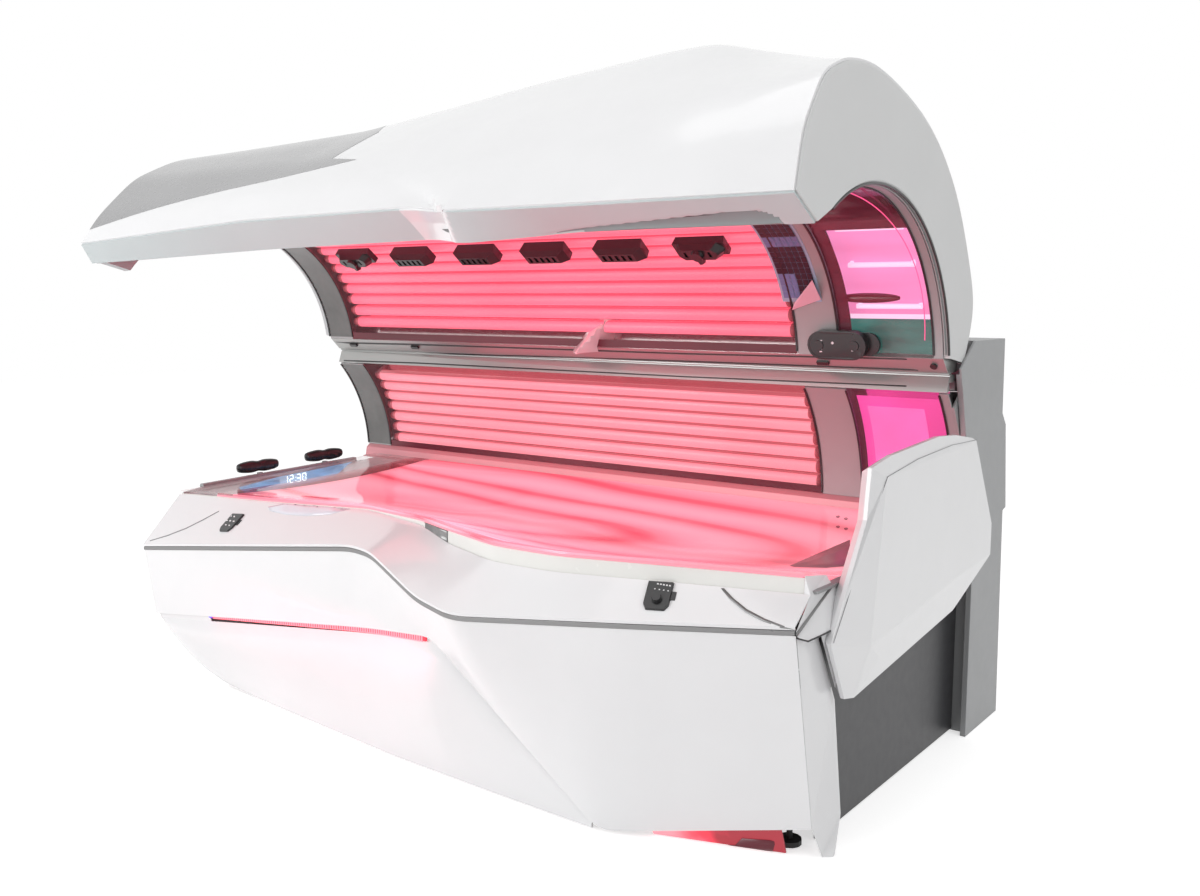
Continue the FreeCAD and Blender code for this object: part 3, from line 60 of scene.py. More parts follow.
# ---- outlines shared with the CAD
TUNNEL, TUNNEL_R = (-190.0, 993.0), 445.0  # axis (y, z) and radius of the canopy's panes
SIDE, SIDE_R = (-70.0, 620.0), 495.0  # the same for the side panel
ARCS = {"canopy": (TUNNEL, TUNNEL_R), "base": (SIDE, SIDE_R)}
CAP_X = 1152.0  # head end of the canopy's shell
FACE_X0, FACE_X1 = 862.0, 1118.0  # pane over the face field
PANE_X0, PANE_X1 = -1040, 738  # panes over the long lamps
FOOT_RIB = (-1164, -1048)  # face of the ribs at the foot end
FRONT_X0, FRONT_X1 = -1105, 1157  # front cover, trim and rim
BED_X0, BED_X1 = -1098, 1142  # lying surface
# x and then (y, z) round the shell: fascia, fold, faceted front, crown, rear rail
CANOPY = [
    (-1195, [(-640, 1303), (-672, 1358), (-606, 1446), (-485, 1561), (-340, 1628),
             (-120, 1668), (60, 1634), (230, 1514), (325, 1350), (362, 1180), (357, 1032)]),
    (-500, [(-520, 1334), (-600, 1404), (-545, 1478), (-425, 1566), (-280, 1635),
            (-100, 1697), (70, 1655), (240, 1530), (340, 1360), (385, 1190), (357, 1032)]),
    (130, [(-500, 1345), (-592, 1412), (-505, 1502), (-372, 1600), (-250, 1685),
           (-100, 1766), (75, 1725), (245, 1570), (353, 1380), (395, 1195), (357, 1032)]),
    (275, [(-562, 1328), (-626, 1396), (-522, 1500), (-374, 1608), (-250, 1696),
           (-100, 1778), (78, 1736), (248, 1578), (358, 1382), (398, 1195), (357, 1032)]),
    (560, [(-502, 1347), (-606, 1397), (-512, 1502), (-382, 1616), (-250, 1715),
           (-100, 1800), (80, 1758), (250, 1590), (362, 1382), (402, 1195), (357, 1032)]),
    (690, [(-500, 1348), (-602, 1397), (-516, 1504), (-388, 1619), (-252, 1718),
           (-100, 1803), (82, 1758), (252, 1590), (364, 1380), (404, 1195), (357, 1032)]),
    (930, [(-496, 1348), (-592, 1398), (-528, 1512), (-414, 1628), (-300, 1692),
           (-140, 1738), (75, 1680), (252, 1530), (372, 1350), (408, 1180), (357, 1032)]),
    (CAP_X, [(-490, 1348), (-578, 1400), (-548, 1520), (-466, 1634), (-372, 1671),
             (-210, 1676), (60, 1599), (250, 1466), (372, 1285), (413, 1163), (357, 1032)]),
]
CANOPY_ROWS = [(x, *[c for p in pts for c in p]) for x, pts in CANOPY]
# the silver cover at the foot end, in plan
SILVER = [(-1300, -664), (-229, -431), (-345, -414), (-339, -249), (-450, -100), (-450, 700),
          (-1300, 700)]
# lines of the base: (x, y, z), in EDGE with the lying surface's sag, in KEEL with the step
# of the hull's top from the fold, and in RIM_TOP (x, z)
TRIM = [(-1105, -575, 414), (-105, -600, 548), (7, -630, 551), (250, -710, 492),
        (405, -755, 484), (810, -665, 516), (1157, -545, 534)]
EDGE = [(-1098, -441, 577, 4), (-880, -443, 589, 8), (-640, -444, 600, 42),
        (-215, -441, 625, 80), (50, -498, 632, 85), (220, -572, 638, 85), (440, -652, 643, 85),
        (616, -645, 642, 85), (932, -547, 640, 80), (1142, -482, 638, 60)]
RIM_TOP = [(-1105, 566), (-640, 588), (-215, 612), (50, 612), (220, 598), (616, 598), (1157, 595)]
FOLD = [(-1045, -583, 215), (-640, -592, 270), (-105, -612, 343), (7, -625, 359),
        (250, -668, 392), (405, -645, 262), (700, -595, 4), (810, -562, 22), (1157, -452, 83)]
KEEL = [(-1040, -560, 200, -18), (-985, -545, 118, -18), (-900, -520, 50, -18),
        (-800, -506, 14, -18), (-640, -512, 4, -18), (7, -572, 4, -18),
        (235, -580, 4, -18), (270, -582, 4, 20), (405, -586, 4, 20), (680, -592, 4, 20)]
BACK_Y, BACK_Z = 402.0, 606.0  # rear edge of the lying surface
# faces of a box whose corners run round one side and then round the other
BOX = [(0, 1, 2, 3), (0, 4, 5, 1), (3, 2, 6, 7), (4, 7, 6, 5), (0, 3, 7, 4), (1, 5, 6, 2)]


def mix(a, b, t):
    return tuple(p + (q - p) * t for p, q in zip(a, b))


def at(table, x):
    x = min(max(x, table[0][0]), table[-1][0])
    for a, b in zip(table, table[1:]):
        if x <= b[0]:
            return mix(a[1:], b[1:], (x - a[0]) / (b[0] - a[0]))


def soft_at(table, x, half=40.0):
    """Row of a table at x, its corners rounded over +-half."""
    half = min(half, x - table[0][0], table[-1][0] - x)
    rows = [at(table, x + half * k / 6) for k in range(-6, 7)]
    return tuple(sum(r[i] for r in rows) / len(rows) for i in range(len(rows[0])))


def spread(x0, x1, step):
    n = max(1, round(abs(x1 - x0) / step))
    return [x0 + (x1 - x0) * i / n for i in range(n + 1)]


def polar(centre, r, a):
    return (centre[0] + r * cos(radians(a)), centre[1] + r * sin(radians(a)))


def arc(body, lift, a):
    """Point (y, z) at an angle, a little outside or inside the panes of a body."""
    centre, r = ARCS[body]
    return polar(centre, r + lift, a)


# ---- camera, light, floor
YAW, PITCH = radians(36.85), radians(7.51)
EYE = Vector((2196, -2583, 1205))
PHOTO_W, PHOTO_H = 1200, 896  # size of the photograph in pixels
FOCAL = 1160.0  # focal length in the same pixels
SENSOR = 36.0
FORWARD = Vector((-sin(YAW) * cos(PITCH), cos(YAW) * cos(PITCH),
                  -sin(PITCH)))
RIGHT = FORWARD.cross(Vector((0, 0, 1))).normalized()
UP = RIGHT.cross(FORWARD)


def add(name, data):
    """New object in the scene."""
    o = bpy.data.objects.new(name, data)
    bpy.context.scene.collection.objects.link(o)
    return o


def look(o, place, way):
    """Stand a camera or light at a place and point it along a way."""
    o.location = place
    o.rotation_mode = "QUATERNION"
    o.rotation_quaternion = way.to_track_quat("-Z", "Y")


def make_camera():
    data = bpy.data.cameras.new("camera")
    data.sensor_width = SENSOR
    data.lens = SENSOR * FOCAL / PHOTO_W
    data.clip_end = 50
    cam = add("camera", data)
    look(cam, EYE * MM, FORWARD)
    bpy.context.scene.camera = cam
    bpy.context.scene.view_settings.view_transform = "Standard"


def area_light(name, place, aim, size, power, color=(1, 1, 1)):
    data = bpy.data.lights.new(name, "AREA")
    data.shape = "RECTANGLE"
    data.size, data.size_y = size
    data.energy = power
    data.color = color
    look(add(name, data), place, Vector(aim) - Vector(place))


def feed(tree, socket, value):
    """Link a socket to a node's output, or set its value."""
    if isinstance(value, bpy.types.NodeSocket):
        tree.links.new(value, socket)
    else:
        socket.default_value = value


def node(tree, kind, *values, **named):
    """New shader node; values feed its sockets in order, named ones by name (_ for a space)."""
    made = tree.nodes.new("ShaderNode" + kind)
    for socket, value in zip(made.inputs, values):
        feed(tree, socket, value)
    for name, value in named.items():
        feed(tree, made.inputs[name.replace("_", " ")], value)
    return made


def reckon(tree, how, *terms):
    made = node(tree, "Math", *terms)
    made.operation = how
    return made.outputs[0]


def empty_tree(owner):
    owner.use_nodes = True
    owner.node_tree.nodes.clear()
    return owner.node_tree


def seen(tree):
    """1 for rays that show a background: camera, mirror and glass rays."""
    rays = node(tree, "LightPath").outputs
    both = reckon(tree, "MAXIMUM", rays["Is Camera Ray"], rays["Is Glossy Ray"])
    return reckon(tree, "MAXIMUM", both, rays["Is Transmission Ray"])


def make_world():
    """Dim white light all round that rays which show a background see at full white."""
    world = bpy.data.worlds.new("studio")
    bpy.context.scene.world = world
    tree = empty_tree(world)
    backs = [node(tree, "Background", Color=(1, 1, 1, 1), Strength=strength).outputs[0]
             for strength in (0.46, 1.0)]
    node(tree, "OutputWorld", node(tree, "MixShader", seen(tree), *backs).outputs[0])


def make_floor():
    """Pale floor that keeps the shadow and renders white beside it."""
    s = 14.0
    mesh = bpy.data.meshes.new("floor")
    mesh.from_pydata([(-s, -s, 0), (s, -s, 0), (s, s, 0), (-s, s, 0)], [], [(0, 1, 2, 3)])
    floor = add("floor", mesh)
    m = bpy.data.materials.new("floor")
    tree = empty_tree(m)
    plain = node(tree, "BsdfDiffuse", Color=(0.8, 0.8, 0.8, 1)).outputs[0]
    shade = node(tree, "BsdfDiffuse", Color=(0.9, 0.9, 0.9, 1)).outputs[0]
    glow = node(tree, "Emission", Strength=0.6).outputs[0]
    lit = node(tree, "AddShader", shade, glow).outputs[0]
    node(tree, "OutputMaterial", node(tree, "MixShader", seen(tree), plain, lit).outputs[0])
    mesh.materials.append(m)


# ---- materials
def new_tree(name):
    m = bpy.data.materials.new(name)
    return m, empty_tree(m)


def principled(tree, **named):
    node(tree, "OutputMaterial", node(tree, "BsdfPrincipled", **named).outputs[0])


def coords(tree, stretch=(1, 1, 1), shift=(0, 0, 0)):
    place = node(tree, "TexCoord").outputs["Object"]
    return node(tree, "Mapping", place, Location=shift, Scale=stretch).outputs[0]


def along(tree):
    """Place along the bed, in metres."""
    return node(tree, "SeparateXYZ", coords(tree)).outputs[0]


def noise(tree, scale, detail=3.0, stretch=(1, 1, 1)):
    return node(tree, "TexNoise", coords(tree, stretch), Scale=scale, Detail=detail).outputs[0]


def ramp(tree, value, stops):
    made = node(tree, "ValToRGB", value)
    el = made.color_ramp.elements
    for end, (pos, color) in zip(el, (stops[0], stops[-1])):
        end.position, end.color = pos, (*color, 1)
    for pos, color in stops[1:-1]:
        el.new(pos).color = (*color, 1)
    return made.outputs[0]


def tint(color, k):
    return tuple(min(1.0, c * k) for c in color)


def cloud(tree, color, low, high, scale, detail, stretch=(1, 1, 1)):
    """A colour that drifts between two shades of itself."""
    return ramp(tree, noise(tree, scale, detail, stretch),
                [(0.3, tint(color, low)), (0.7, tint(color, high))])


def surface(name, color, rough, metal=0.0, coat=0.0, mottle=0.03, mottle_scale=5.0,
            grain=0.0, grain_scale=900.0, stretch=(1, 1, 1)):
    """Painted, moulded or metal surface with faint colour, gloss and grain variation."""
    m, tree = new_tree(name)
    gloss = node(tree, "MapRange", noise(tree, mottle_scale * 7, 3.0, stretch),
                 To_Min=max(0.02, rough - 0.06), To_Max=rough + 0.06)
    uneven = {}
    if grain:
        uneven["Normal"] = node(tree, "Bump", Strength=grain, Distance=0.0004,
                                Height=noise(tree, grain_scale, 2.0, stretch)).outputs[0]
    principled(tree, Roughness=gloss.outputs[0], Metallic=metal, Coat_Weight=coat,
               Base_Color=cloud(tree, color, 1 - mottle, 1 + mottle, mottle_scale, 4.0, stretch),
               Coat_Roughness=0.06, **uneven)
    return m


def glowing(name, color, strength, vary=0.06, scale=3.0, stretch=(1, 1, 1)):
    """Lit surface with a slightly uneven glow."""
    m, tree = new_tree(name)
    principled(tree, Base_Color=(*tint(color, 0.3), 1), Roughness=0.3, Emission_Strength=strength,
               Emission_Color=cloud(tree, color, 1 - vary, 1 + vary, scale, 2.0, stretch))
    return m


def tube_tones(name, *tones):
    """Glow of a lamp where it faces out, on its flanks and on its edges, and its caps' paint."""
    return [glowing(name + part, color, strength)
            for part, (color, strength) in zip(("", "_flank", "_edge"), tones)] + [holder]


def strip_light(name):
    """Red light strips; the one under the head side runs from pale pink to dark red."""
    m, tree = new_tree(name)
    place = reckon(tree, "MULTIPLY_ADD", noise(tree, 14.0, 3.0), 0.16, along(tree))
    share = node(tree, "MapRange", place, From_Min=0.7, From_Max=1.1).outputs[0]
    glow = ramp(tree, share, [(0.0, (0.95, 0.03, 0.06)), (0.3, (0.95, 0.05, 0.09)),
                              (0.42, (1.0, 0.45, 0.52)), (0.58, (1.0, 0.3, 0.36)),
                              (0.75, (0.85, 0.05, 0.09)), (0.9, (0.2, 0.02, 0.03))])
    principled(tree, Base_Color=(0.3, 0.02, 0.03, 1), Emission_Color=glow, Emission_Strength=1.0)
    return m


def clear(name, color, alpha, rough=0.04):
    """Clear acrylic: tinted, see-through, glossy."""
    m, tree = new_tree(name)
    principled(tree, Base_Color=cloud(tree, color, 0.95, 1.04, 2.5, 2.0), Alpha=alpha,
               Roughness=rough, IOR=1.49)
    return m


def lying_sheet(name):
    """Acrylic over the lamps: pink glow with long wavy darker lines, paler at the head end."""
    m, tree = new_tree(name)
    wave = node(tree, "TexWave", coords(tree, (0.42, 1.55, 1.0), (0.22, 0.1, -0.3)), Scale=1.5,
                Distortion=5.5, Detail=1.6, Detail_Scale=0.9)
    wave.wave_type = "RINGS"
    wave.rings_direction = "SPHERICAL"
    lines = ramp(tree, wave.outputs["Fac"],
                 [(0.0, (0.66, 0.1, 0.16)), (0.13, (0.86, 0.21, 0.28)),
                  (0.45, (0.93, 0.3, 0.39)), (1.0, (0.96, 0.38, 0.47))])
    head = tree.nodes.new("ShaderNodeMix")
    head.data_type = "RGBA"
    fade = node(tree, "MapRange", along(tree), From_Min=0.55, From_Max=1.15, To_Min=0.0,
                To_Max=0.55)
    for socket, value in ((0, fade.outputs[0]), (6, lines), (7, (0.72, 0.36, 0.4, 1))):
        feed(tree, head.inputs[socket], value)
    glow = head.outputs[2]
    principled(tree, Base_Color=glow, Emission_Color=glow, Emission_Strength=0.52, Alpha=0.8,
               Roughness=0.07)
    return m


# ---- geometry
def piece(name, verts, faces, body, material, smooth=False, replaces=()):
    mesh = bpy.data.meshes.new(name)
    mesh.from_pydata([(x * MM, y * MM, z * MM) for x, y, z in verts], [], faces)
    mesh.update()
    for p in mesh.polygons:
        p.use_smooth = smooth
    for m in (material if isinstance(material, list) else [material]):
        mesh.materials.append(m)
    o = add(name, mesh)
    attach(o, body)
    if replaces:
        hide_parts(*replaces)
    return o


def grid(name, rows, body, material, wall=0.0, smooth=True, replaces=(), close=False):
    """Smooth sheet through rows of points; the wall grows away from its normals."""
    n = len(rows[0])
    verts = [p for row in rows for p in row]
    faces = []
    for i in range(len(rows) - 1):
        for j in range(n if close else n - 1):
            k = (j + 1) % n
            faces.append((i * n + j, i * n + k, (i + 1) * n + k, (i + 1) * n + j))
    o = piece(name, verts, faces, body, material, smooth, replaces)
    if wall:
        thicken(o, wall, even=True)
        crisp(o)
    return o


def thicken(o, wall, offset=-1.0, even=False):
    thick = o.modifiers.new("wall", "SOLIDIFY")
    thick.thickness = wall * MM
    thick.offset = offset
    thick.use_even_offset = thick.use_quality_normals = even


def crisp(o):
    """Shade the walls of a smooth sheet apart from its faces."""
    o.modifiers.new("crisp", "EDGE_SPLIT").split_angle = radians(40)


def round_edges(o, width, angle=35):
    bevel = o.modifiers.new("edges", "BEVEL")
    bevel.width = width * MM
    bevel.segments = 2
    bevel.limit_method = "ANGLE"
    bevel.angle_limit = radians(angle)
    bevel.harden_normals = True


def rod(name, path, r, body, material, sides=8):
    """Round bar or tube along a path."""
    pts = [Vector(p) for p in path]
    rows = []
    for i, p in enumerate(pts):
        d = (pts[min(i + 1, len(pts) - 1)] - pts[max(i - 1, 0)]).normalized()
        side = d.cross(Vector((0, 0, 1)) if abs(d.z) < 0.9 else Vector((0, 1, 0))).normalized()
        up = side.cross(d)
        rows.append([tuple(p + side * r * cos(2 * pi * k / sides)
                           + up * r * sin(2 * pi * k / sides)) for k in range(sides)])
    return grid(name, rows, body, material, close=True)


def shape_tree(o):
    bpy.context.view_layer.update()
    return BVHTree.FromObject(o, bpy.context.evaluated_depsgraph_get())


def hit(tree, u, v):
    """Point (mm) and outward normal where a pixel of the photograph falls."""
    ray = (FORWARD + RIGHT * (u - PHOTO_W / 2) / FOCAL
           - UP * (v - PHOTO_H / 2) / FOCAL).normalized()
    p, n = tree.ray_cast(EYE * MM, ray)[:2]
    if p is None:
        near = [tree.find_nearest(EYE * MM + ray * (1.5 + 0.01 * k)) for k in range(300)]
        p, n = min(near, key=lambda found: found[3])[:2]
    return p / MM, (n if n.dot(ray) < 0 else -n)


def patch(name, tree, body, material, lift, steps, top, low):
    """Thin sheet laid on a surface between two lines in pixels of the photograph."""
    rows = []
    for i in range(steps + 1):
        found = [hit(tree, *mix(p, q, i / steps)) for p, q in zip(top, low)]
        rows.append([tuple(p + n * lift) for p, n in found])
    thicken(grid(name, rows, body, material), lift - 0.1, 0.0)


def dots(count, u, du, v, dv, *rest):
    """Even row of equal marks."""
    return [(u + du * i, v + dv * i, *rest) for i in range(count)]


def strokes(name, tree, marks, body, material, lift=0.7):
    """Small printed marks: (u, v, width, height, turn) in pixels of the photograph."""
    verts, faces = [], []
    for u, v, w, h, turn in marks:
        c, s = cos(radians(turn)), sin(radians(turn))
        first = len(verts)
        for a, b in ((-w, -h), (w, -h), (w, h), (-w, h)):
            p, n = hit(tree, u + (a * c - b * s) / 2, v + (a * s + b * c) / 2)
            verts.append(tuple(p + n * lift))
        faces.append((first, first + 1, first + 2, first + 3))
    piece(name, verts, faces, body, material)


def islands(mesh):
    """Boxes of the separate pieces of one mesh, in mm."""
    parent = list(range(len(mesh.vertices)))
    keys = {}
    same = [keys.setdefault(tuple(round(c, 5) for c in v.co), v.index) for v in mesh.vertices]

    def root(i):
        while parent[i] != i:
            parent[i] = parent[parent[i]]
            i = parent[i]
        return i
    for e in mesh.edges:
        parent[root(same[e.vertices[0]])] = root(same[e.vertices[1]])
    groups = {}
    for v in mesh.vertices:
        groups.setdefault(root(same[v.index]), []).append([c / MM for c in v.co])
    return [[[end(axis) for axis in zip(*g)] for end in (min, max)] for g in groups.values()]


def round_lamps(name, node, body, tones, facing, r=19.0, sides=24):
    """Round tubes with metal caps over a node's many-sided ones, brighter where they face out."""
    verts, faces, slots = [], [], []
    for low, high in islands(NODES[node].data):
        if high[2] - low[2] < 1.8 * r:
            continue
        y, z = (low[1] + high[1]) / 2, (low[2] + high[2]) / 2
        way = facing(y, z)
        xs = [low[0], low[0] + 11, low[0] + 12, high[0] - 12, high[0] - 11, high[0]]
        first = len(verts)
        for k, x in enumerate(xs):
            q = r - (0.6 if k in (0, 1, 4, 5) else 0)
            verts += [(x, *polar((y, z), q, way + 360 * j / sides)) for j in range(sides)]
        for k in range(len(xs) - 1):
            for j in range(sides):
                a, b = first + k * sides + j, first + k * sides + (j + 1) % sides
                faces.append((a, b, b + sides, a + sides))
                off = abs((j + 0.5) * 360 / sides - (360 if j >= sides / 2 else 0))
                slots.append(3 if k in (0, 4) else (0 if off < 42 else 1 if off < 66 else 2))
        faces.append(tuple(range(first, first + sides)))
        faces.append(tuple(range(first + (len(xs) - 1) * sides, first + len(xs) * sides)))
        slots += [3, 3]
    o = piece(name, verts, faces, body, tones, True, (node,))
    for p, s in zip(o.data.polygons, slots):
        p.material_index = s


def paint(material, *names):
    for n in names:
        mesh = NODES[n].data
        mesh.materials.clear()
        mesh.materials.append(material)


def soften_edges(width, *names):
    """Small rounded edges on rigid pieces."""
    for n in names:
        NODES[n].modifiers.new("weld", "WELD").merge_threshold = 0.00005
        round_edges(NODES[n], width, 28)


# ---- canopy
def canopy_raw(x):
    flat = soft_at(CANOPY_ROWS, x, 45)
    return list(zip(flat[::2], flat[1::2]))


def spline(points, first, steps):
    """Points of a line, rounded from one of them on."""
    out = points[:first + 1]
    last = len(points) - 1
    for i in range(first, last):
        near = [points[j] for j in (max(i - 1, first), i, i + 1, min(i + 2, last))]
        for k in range(1, steps + 1):
            t = k / steps
            ws = (-t + 2 * t ** 2 - t ** 3, 2 - 5 * t ** 2 + 3 * t ** 3,
                  t + 4 * t ** 2 - 3 * t ** 3, t ** 3 - t ** 2)
            out.append(tuple(sum(w * p[j] for w, p in zip(ws, near)) / 2 for j in (0, 1)))
    return out


def relax(line, turns):
    """Round the corners of a line a little; its ends stay."""
    for _ in range(turns):
        line = [line[0]] + [tuple((a + 2 * b + c) / 4 for a, b, c in zip(*t))
                            for t in zip(line, line[1:], line[2:])] + [line[-1]]
    return line


def canopy_line(x):
    """Outer line of the shell at x, from the fold above the fascia to the rear."""
    raw = canopy_raw(x)
    line = []
    for a, b in zip(raw[1:4], raw[2:5]):
        line += [mix(a, b, k / 8) for k in range(8)]
    return relax(line + spline(raw[4:], 0, 8), 5)


def nose(x, h):
    """Depth of the hollow beside the canopy's nose; h is 0 at the fascia's lower edge, 1 at the
    fold and more above it."""
    above = max(h - 1.0, 0.0)
    away = 246 + 34 * min(h, 1.0) - 120 * above - x
    if not 0 < away < 230 or above > 1.4:
        return 0.0
    wall = min(1.0, away / (34 + 150 * above))
    slope = 0.5 + 0.5 * cos(pi * away / 230)
    deep = 30.0 * min(1.0, 0.2 + 1.3 * h) * (1 - above / 1.4)
    return deep * wall ** 2 * (3 - 2 * wall) * slope


def canopy_stations():
    """Section places along the canopy, closer together at the nose."""
    return (spread(-1195, 20, 18) + spread(20, 300, 7)[1:] + spread(300, CAP_X, 18)[1:])


def build_shell():
    """White shell and silver cover over the canopy."""
    rows = []
    for x in canopy_stations():
        fold_z = canopy_raw(x)[1][1]
        rows.append([(x, y + nose(x, 1 + (z - fold_z) / 62), z) for y, z in canopy_line(x)])
    full = grid("shell_draft", rows, "canopy", white)
    bm = bmesh.new()
    bm.from_mesh(full.data)
    for a, b in zip(SILVER[:5], SILVER[1:6]):
        normal = Vector((b[1] - a[1], a[0] - b[0], 0))
        bmesh.ops.bisect_plane(bm, geom=bm.verts[:] + bm.edges[:] + bm.faces[:], dist=1e-6,
                               plane_co=Vector((a[0], a[1], 0)) * MM, plane_no=normal.normalized())
    bm.verts.index_update()
    bm.normal_update()
    parts = [[], []]
    for f in bm.faces:
        parts[inside(f.calc_center_median() / MM, SILVER)].append(f)
    for keep, name, stood, material, drop in (
            (parts[0], "canopy_white", "canopy_shell", white, 0.0),
            (parts[1], "canopy_silver_cover", "canopy_silver", silver, 0.9)):
        verts, index, faces = [], {}, []
        for f in keep:
            for v in f.verts:
                if v.index not in index:
                    index[v.index] = len(verts)
                    verts.append(tuple(v.co / MM - v.normal * drop))
            faces.append([index[v.index] for v in f.verts])
        o = piece(name, verts, faces, "canopy", material, True, (stood,))
        thicken(o, 5.5)
        crisp(o)
    bm.free()
    bpy.data.objects.remove(full)


def inside(p, polygon):
    """Whether a point lies in a polygon, both in plan."""
    odd = False
    for a, b in zip(polygon, polygon[1:] + polygon[:1]):
        if (a[1] > p[1]) != (b[1] > p[1]):
            if p[0] < (b[0] - a[0]) * (p[1] - a[1]) / (b[1] - a[1]) + a[0]:
                odd = not odd
    return odd


def scoop(x, v):
    """Depth of the long recess in the fascia's right half; v is 0 at its lower edge."""
    if not 480 < x < 1088:
        return 0.0
    top = 0.08 + 0.44 * min(1.0, (x - 480) / 500)
    if x > 1040:
        top *= sqrt(1 - ((x - 1040) / 48) ** 2)
    if v > top:
        return 0.0
    deep = 17.0 * min(1.0, (x - 480) / 250)
    return deep * min(1.0, (top - v) / 0.06) * (v / top) ** 0.7


def build_fascia():
    """Strip below the shell's fold in grey, painted shade, with the long recess in darker painted
    shade and the nose's white flank.
    """
    stations = [x for x in canopy_stations() if x <= 480] + spread(480, CAP_X, 9)[1:]
    steps = 28
    rows = []
    for x in stations:
        a, b = canopy_raw(x)[:2]
        ny, nz = b[1] - a[1], a[0] - b[0]
        length = hypot(ny, nz)
        row = []
        for k in range(steps + 1):
            v = k / steps
            d = scoop(x, v)
            y, z = mix(a, b, v)
            row.append((x, y + d * ny / length + nose(x, v), z + d * nz / length))
        rows.append(row)
    # the fascia's grey paints the shade of its downward face; the nose's flank keeps the shell's
    # own white
    o = grid("canopy_fascia_skin", rows, "canopy", [fascia, white, recess], 5.0,
             replaces=("canopy_fascia",))
    for i, p in enumerate(o.data.polygons):
        x, v = stations[i // steps], (i % steps + 0.5) / steps
        # slot 1 is the nose flank's white, slot 2 the recess's darker painted shade, slot 0 the
        # fascia's grey with painted shade
        p.material_index = 1 if 95 < x < 250 + 34 * v else 2 if scoop(x, v) > 1.5 else 0
    for name, drop, m in (("fascia_gasket", 2.0, black), ("fascia_bead", 8.0, rib)):
        path = []
        for x in spread(-1190, CAP_X - 4, 15):
            a = canopy_raw(x)[0]
            path.append((x, a[0] + 1 + drop + nose(x, 0), a[1] - 0.12 * drop + 1))
        rod(name, path, 2.6, "canopy", m)


def build_end():
    """Cap of the canopy's head end: a flat ring between shell and lamp tunnel."""
    raw = canopy_raw(CAP_X)
    outer = relax([mix(raw[0], raw[1], k / 4) for k in range(4)], 1) + canopy_line(CAP_X)
    inner = [arc("canopy", 6, a) for a in spread(122, 7, 2)]
    rows = []
    x0, x1 = CAP_X - 30, CAP_X + 6
    for o, i in zip(resample(outer, 110), resample(inner, 110)):
        e, f = mix(o, i, 0.025), mix(i, o, 0.02)
        rows.append([(x0, *mix(o, i, 0.03)), (CAP_X + 0.5, *o), (x1 - 2, *o), (x1, *e),
                     (x1, *mix(o, i, 0.5)), (x1, *f), (x1 - 3, *i), (x0, *i)])
    grid("canopy_end_cap", rows, "canopy", cap, smooth=False, close=True,
         replaces=("canopy_end_head",))
    for name, back, out, r, material in (("end_seal", 2, 3.5, 3.2, black),
                                         ("end_seal_inner", 12, 1.5, 2.2, rib)):
        seal = [(x1 - back, *arc("canopy", out, a)) for a in spread(121.5, 8, 2)]
        rod(name, seal, r, "canopy", material)


def resample(line, n):
    """The same line with n + 1 evenly spaced points."""
    lengths = [0.0]
    for a, b in zip(line, line[1:]):
        lengths.append(lengths[-1] + dist(a, b))
    out = []
    k = 0
    for i in range(n + 1):
        s = lengths[-1] * i / n
        while k < len(line) - 2 and lengths[k + 1] < s:
            k += 1
        out.append(mix(line[k], line[k + 1], (s - lengths[k]) / (lengths[k + 1] - lengths[k])))
    return out


def arc_sheet(name, body, lift, a0, a1, x0, x1, material, wall=1.0):
    """Curved sheet along the panes of the canopy or the side panel, between two angles."""
    rows = [[(x, *arc(body, lift, a)) for x in (x0, x1)] for a in spread(a0, a1, 3)]
    grid(name, rows, body, material, wall)


def arc_bar(name, body, a0, a1, x):
    """Narrow black bar round the panes, between two angles."""
    rows = []
    for a in spread(a0, a1, 3):
        p, q = arc(body, -0.3, a), arc(body, -3.3, a)
        rows.append([(x, *p), (x + 5, *p), (x + 5, *q), (x, *q)])
    grid(name, rows, body, black, smooth=False, close=True)


def build_fields():
    """What lies behind and on the panes of the canopy and the side panel."""
    x0, x1 = FACE_X0 + 4, FACE_X1 - 2
    for name, lift, a0, a1, material in (
            ("face_lower", 32, 7.5, 18.5, teal), ("face_glow", 57, 19, 51, face_glow),
            ("face_band", 33, 51.5, 54.5, face_band), ("face_upper", 33, 55, 121, dusk),
            ("face_screen", 5.6, 55, 120, smoke)):
        arc_sheet(name, "canopy", lift, a0, a1, x0, x1, material)
    arc_sheet("face_side", "canopy", 5.6, 8, 55, FACE_X0 + 2, FACE_X0 + 36, smoke, 0.6)
    middle = arc("canopy", 22, 26)
    rows = []
    for k in range(25):
        r = 13 * sin(pi * (0.02 + 0.96 * k / 24)) ** 0.4
        rows.append([(FACE_X0 + 5 + 165 * k / 24, *polar(middle, r, a)) for a in range(0, 360, 24)])
    grid("face_box", rows, "canopy", dusk, close=True)
    arc_sheet("side_glow", "base", 34, 3, 36.5, x0, x1, magenta)
    arc_sheet("side_disc", "base", 30, 14, 33, FACE_X0 + 30, FACE_X0 + 190, magenta_pale, 0.6)
    arc_sheet("slot_shadow", "canopy", -0.6, 7.2, 10.2, PANE_X0, PANE_X1, dusk, 0.6)
    # dark red strip along the side panes' rear edge: painted shade, like the slot's shadow on the
    # canopy above it
    arc_sheet("side_edge", "base", -0.6, 2.6, 5.0, PANE_X0, PANE_X1, dusk, 0.6)
    wire = [(1063 + 40 * sin(radians(1.9 * (77 - a))), *arc("canopy", -2.5, a))
            for a in spread(86, 13, 3)]
    rod("face_wire", wire, 1.3, "canopy", pinkline, 6)
    for name, x in (("divider_edge_a", 736), ("divider_edge_b", 859), ("inner_rib_edge", 1116),
                    ("foot_rib_edge", -1047), ("foot_outer_edge", -1170)):
        arc_bar(name, "canopy", 8, 121, x)
        arc_bar(name + "_side", "base", 3, 42, x)
    arc_sheet("foot_rib_face", "canopy", -0.5, 8, 121, *FOOT_RIB, rib_dark, 0.6)
    arc_sheet("foot_rib_face_side", "base", -0.5, 3, 42, *FOOT_RIB, rib_dark, 0.6)


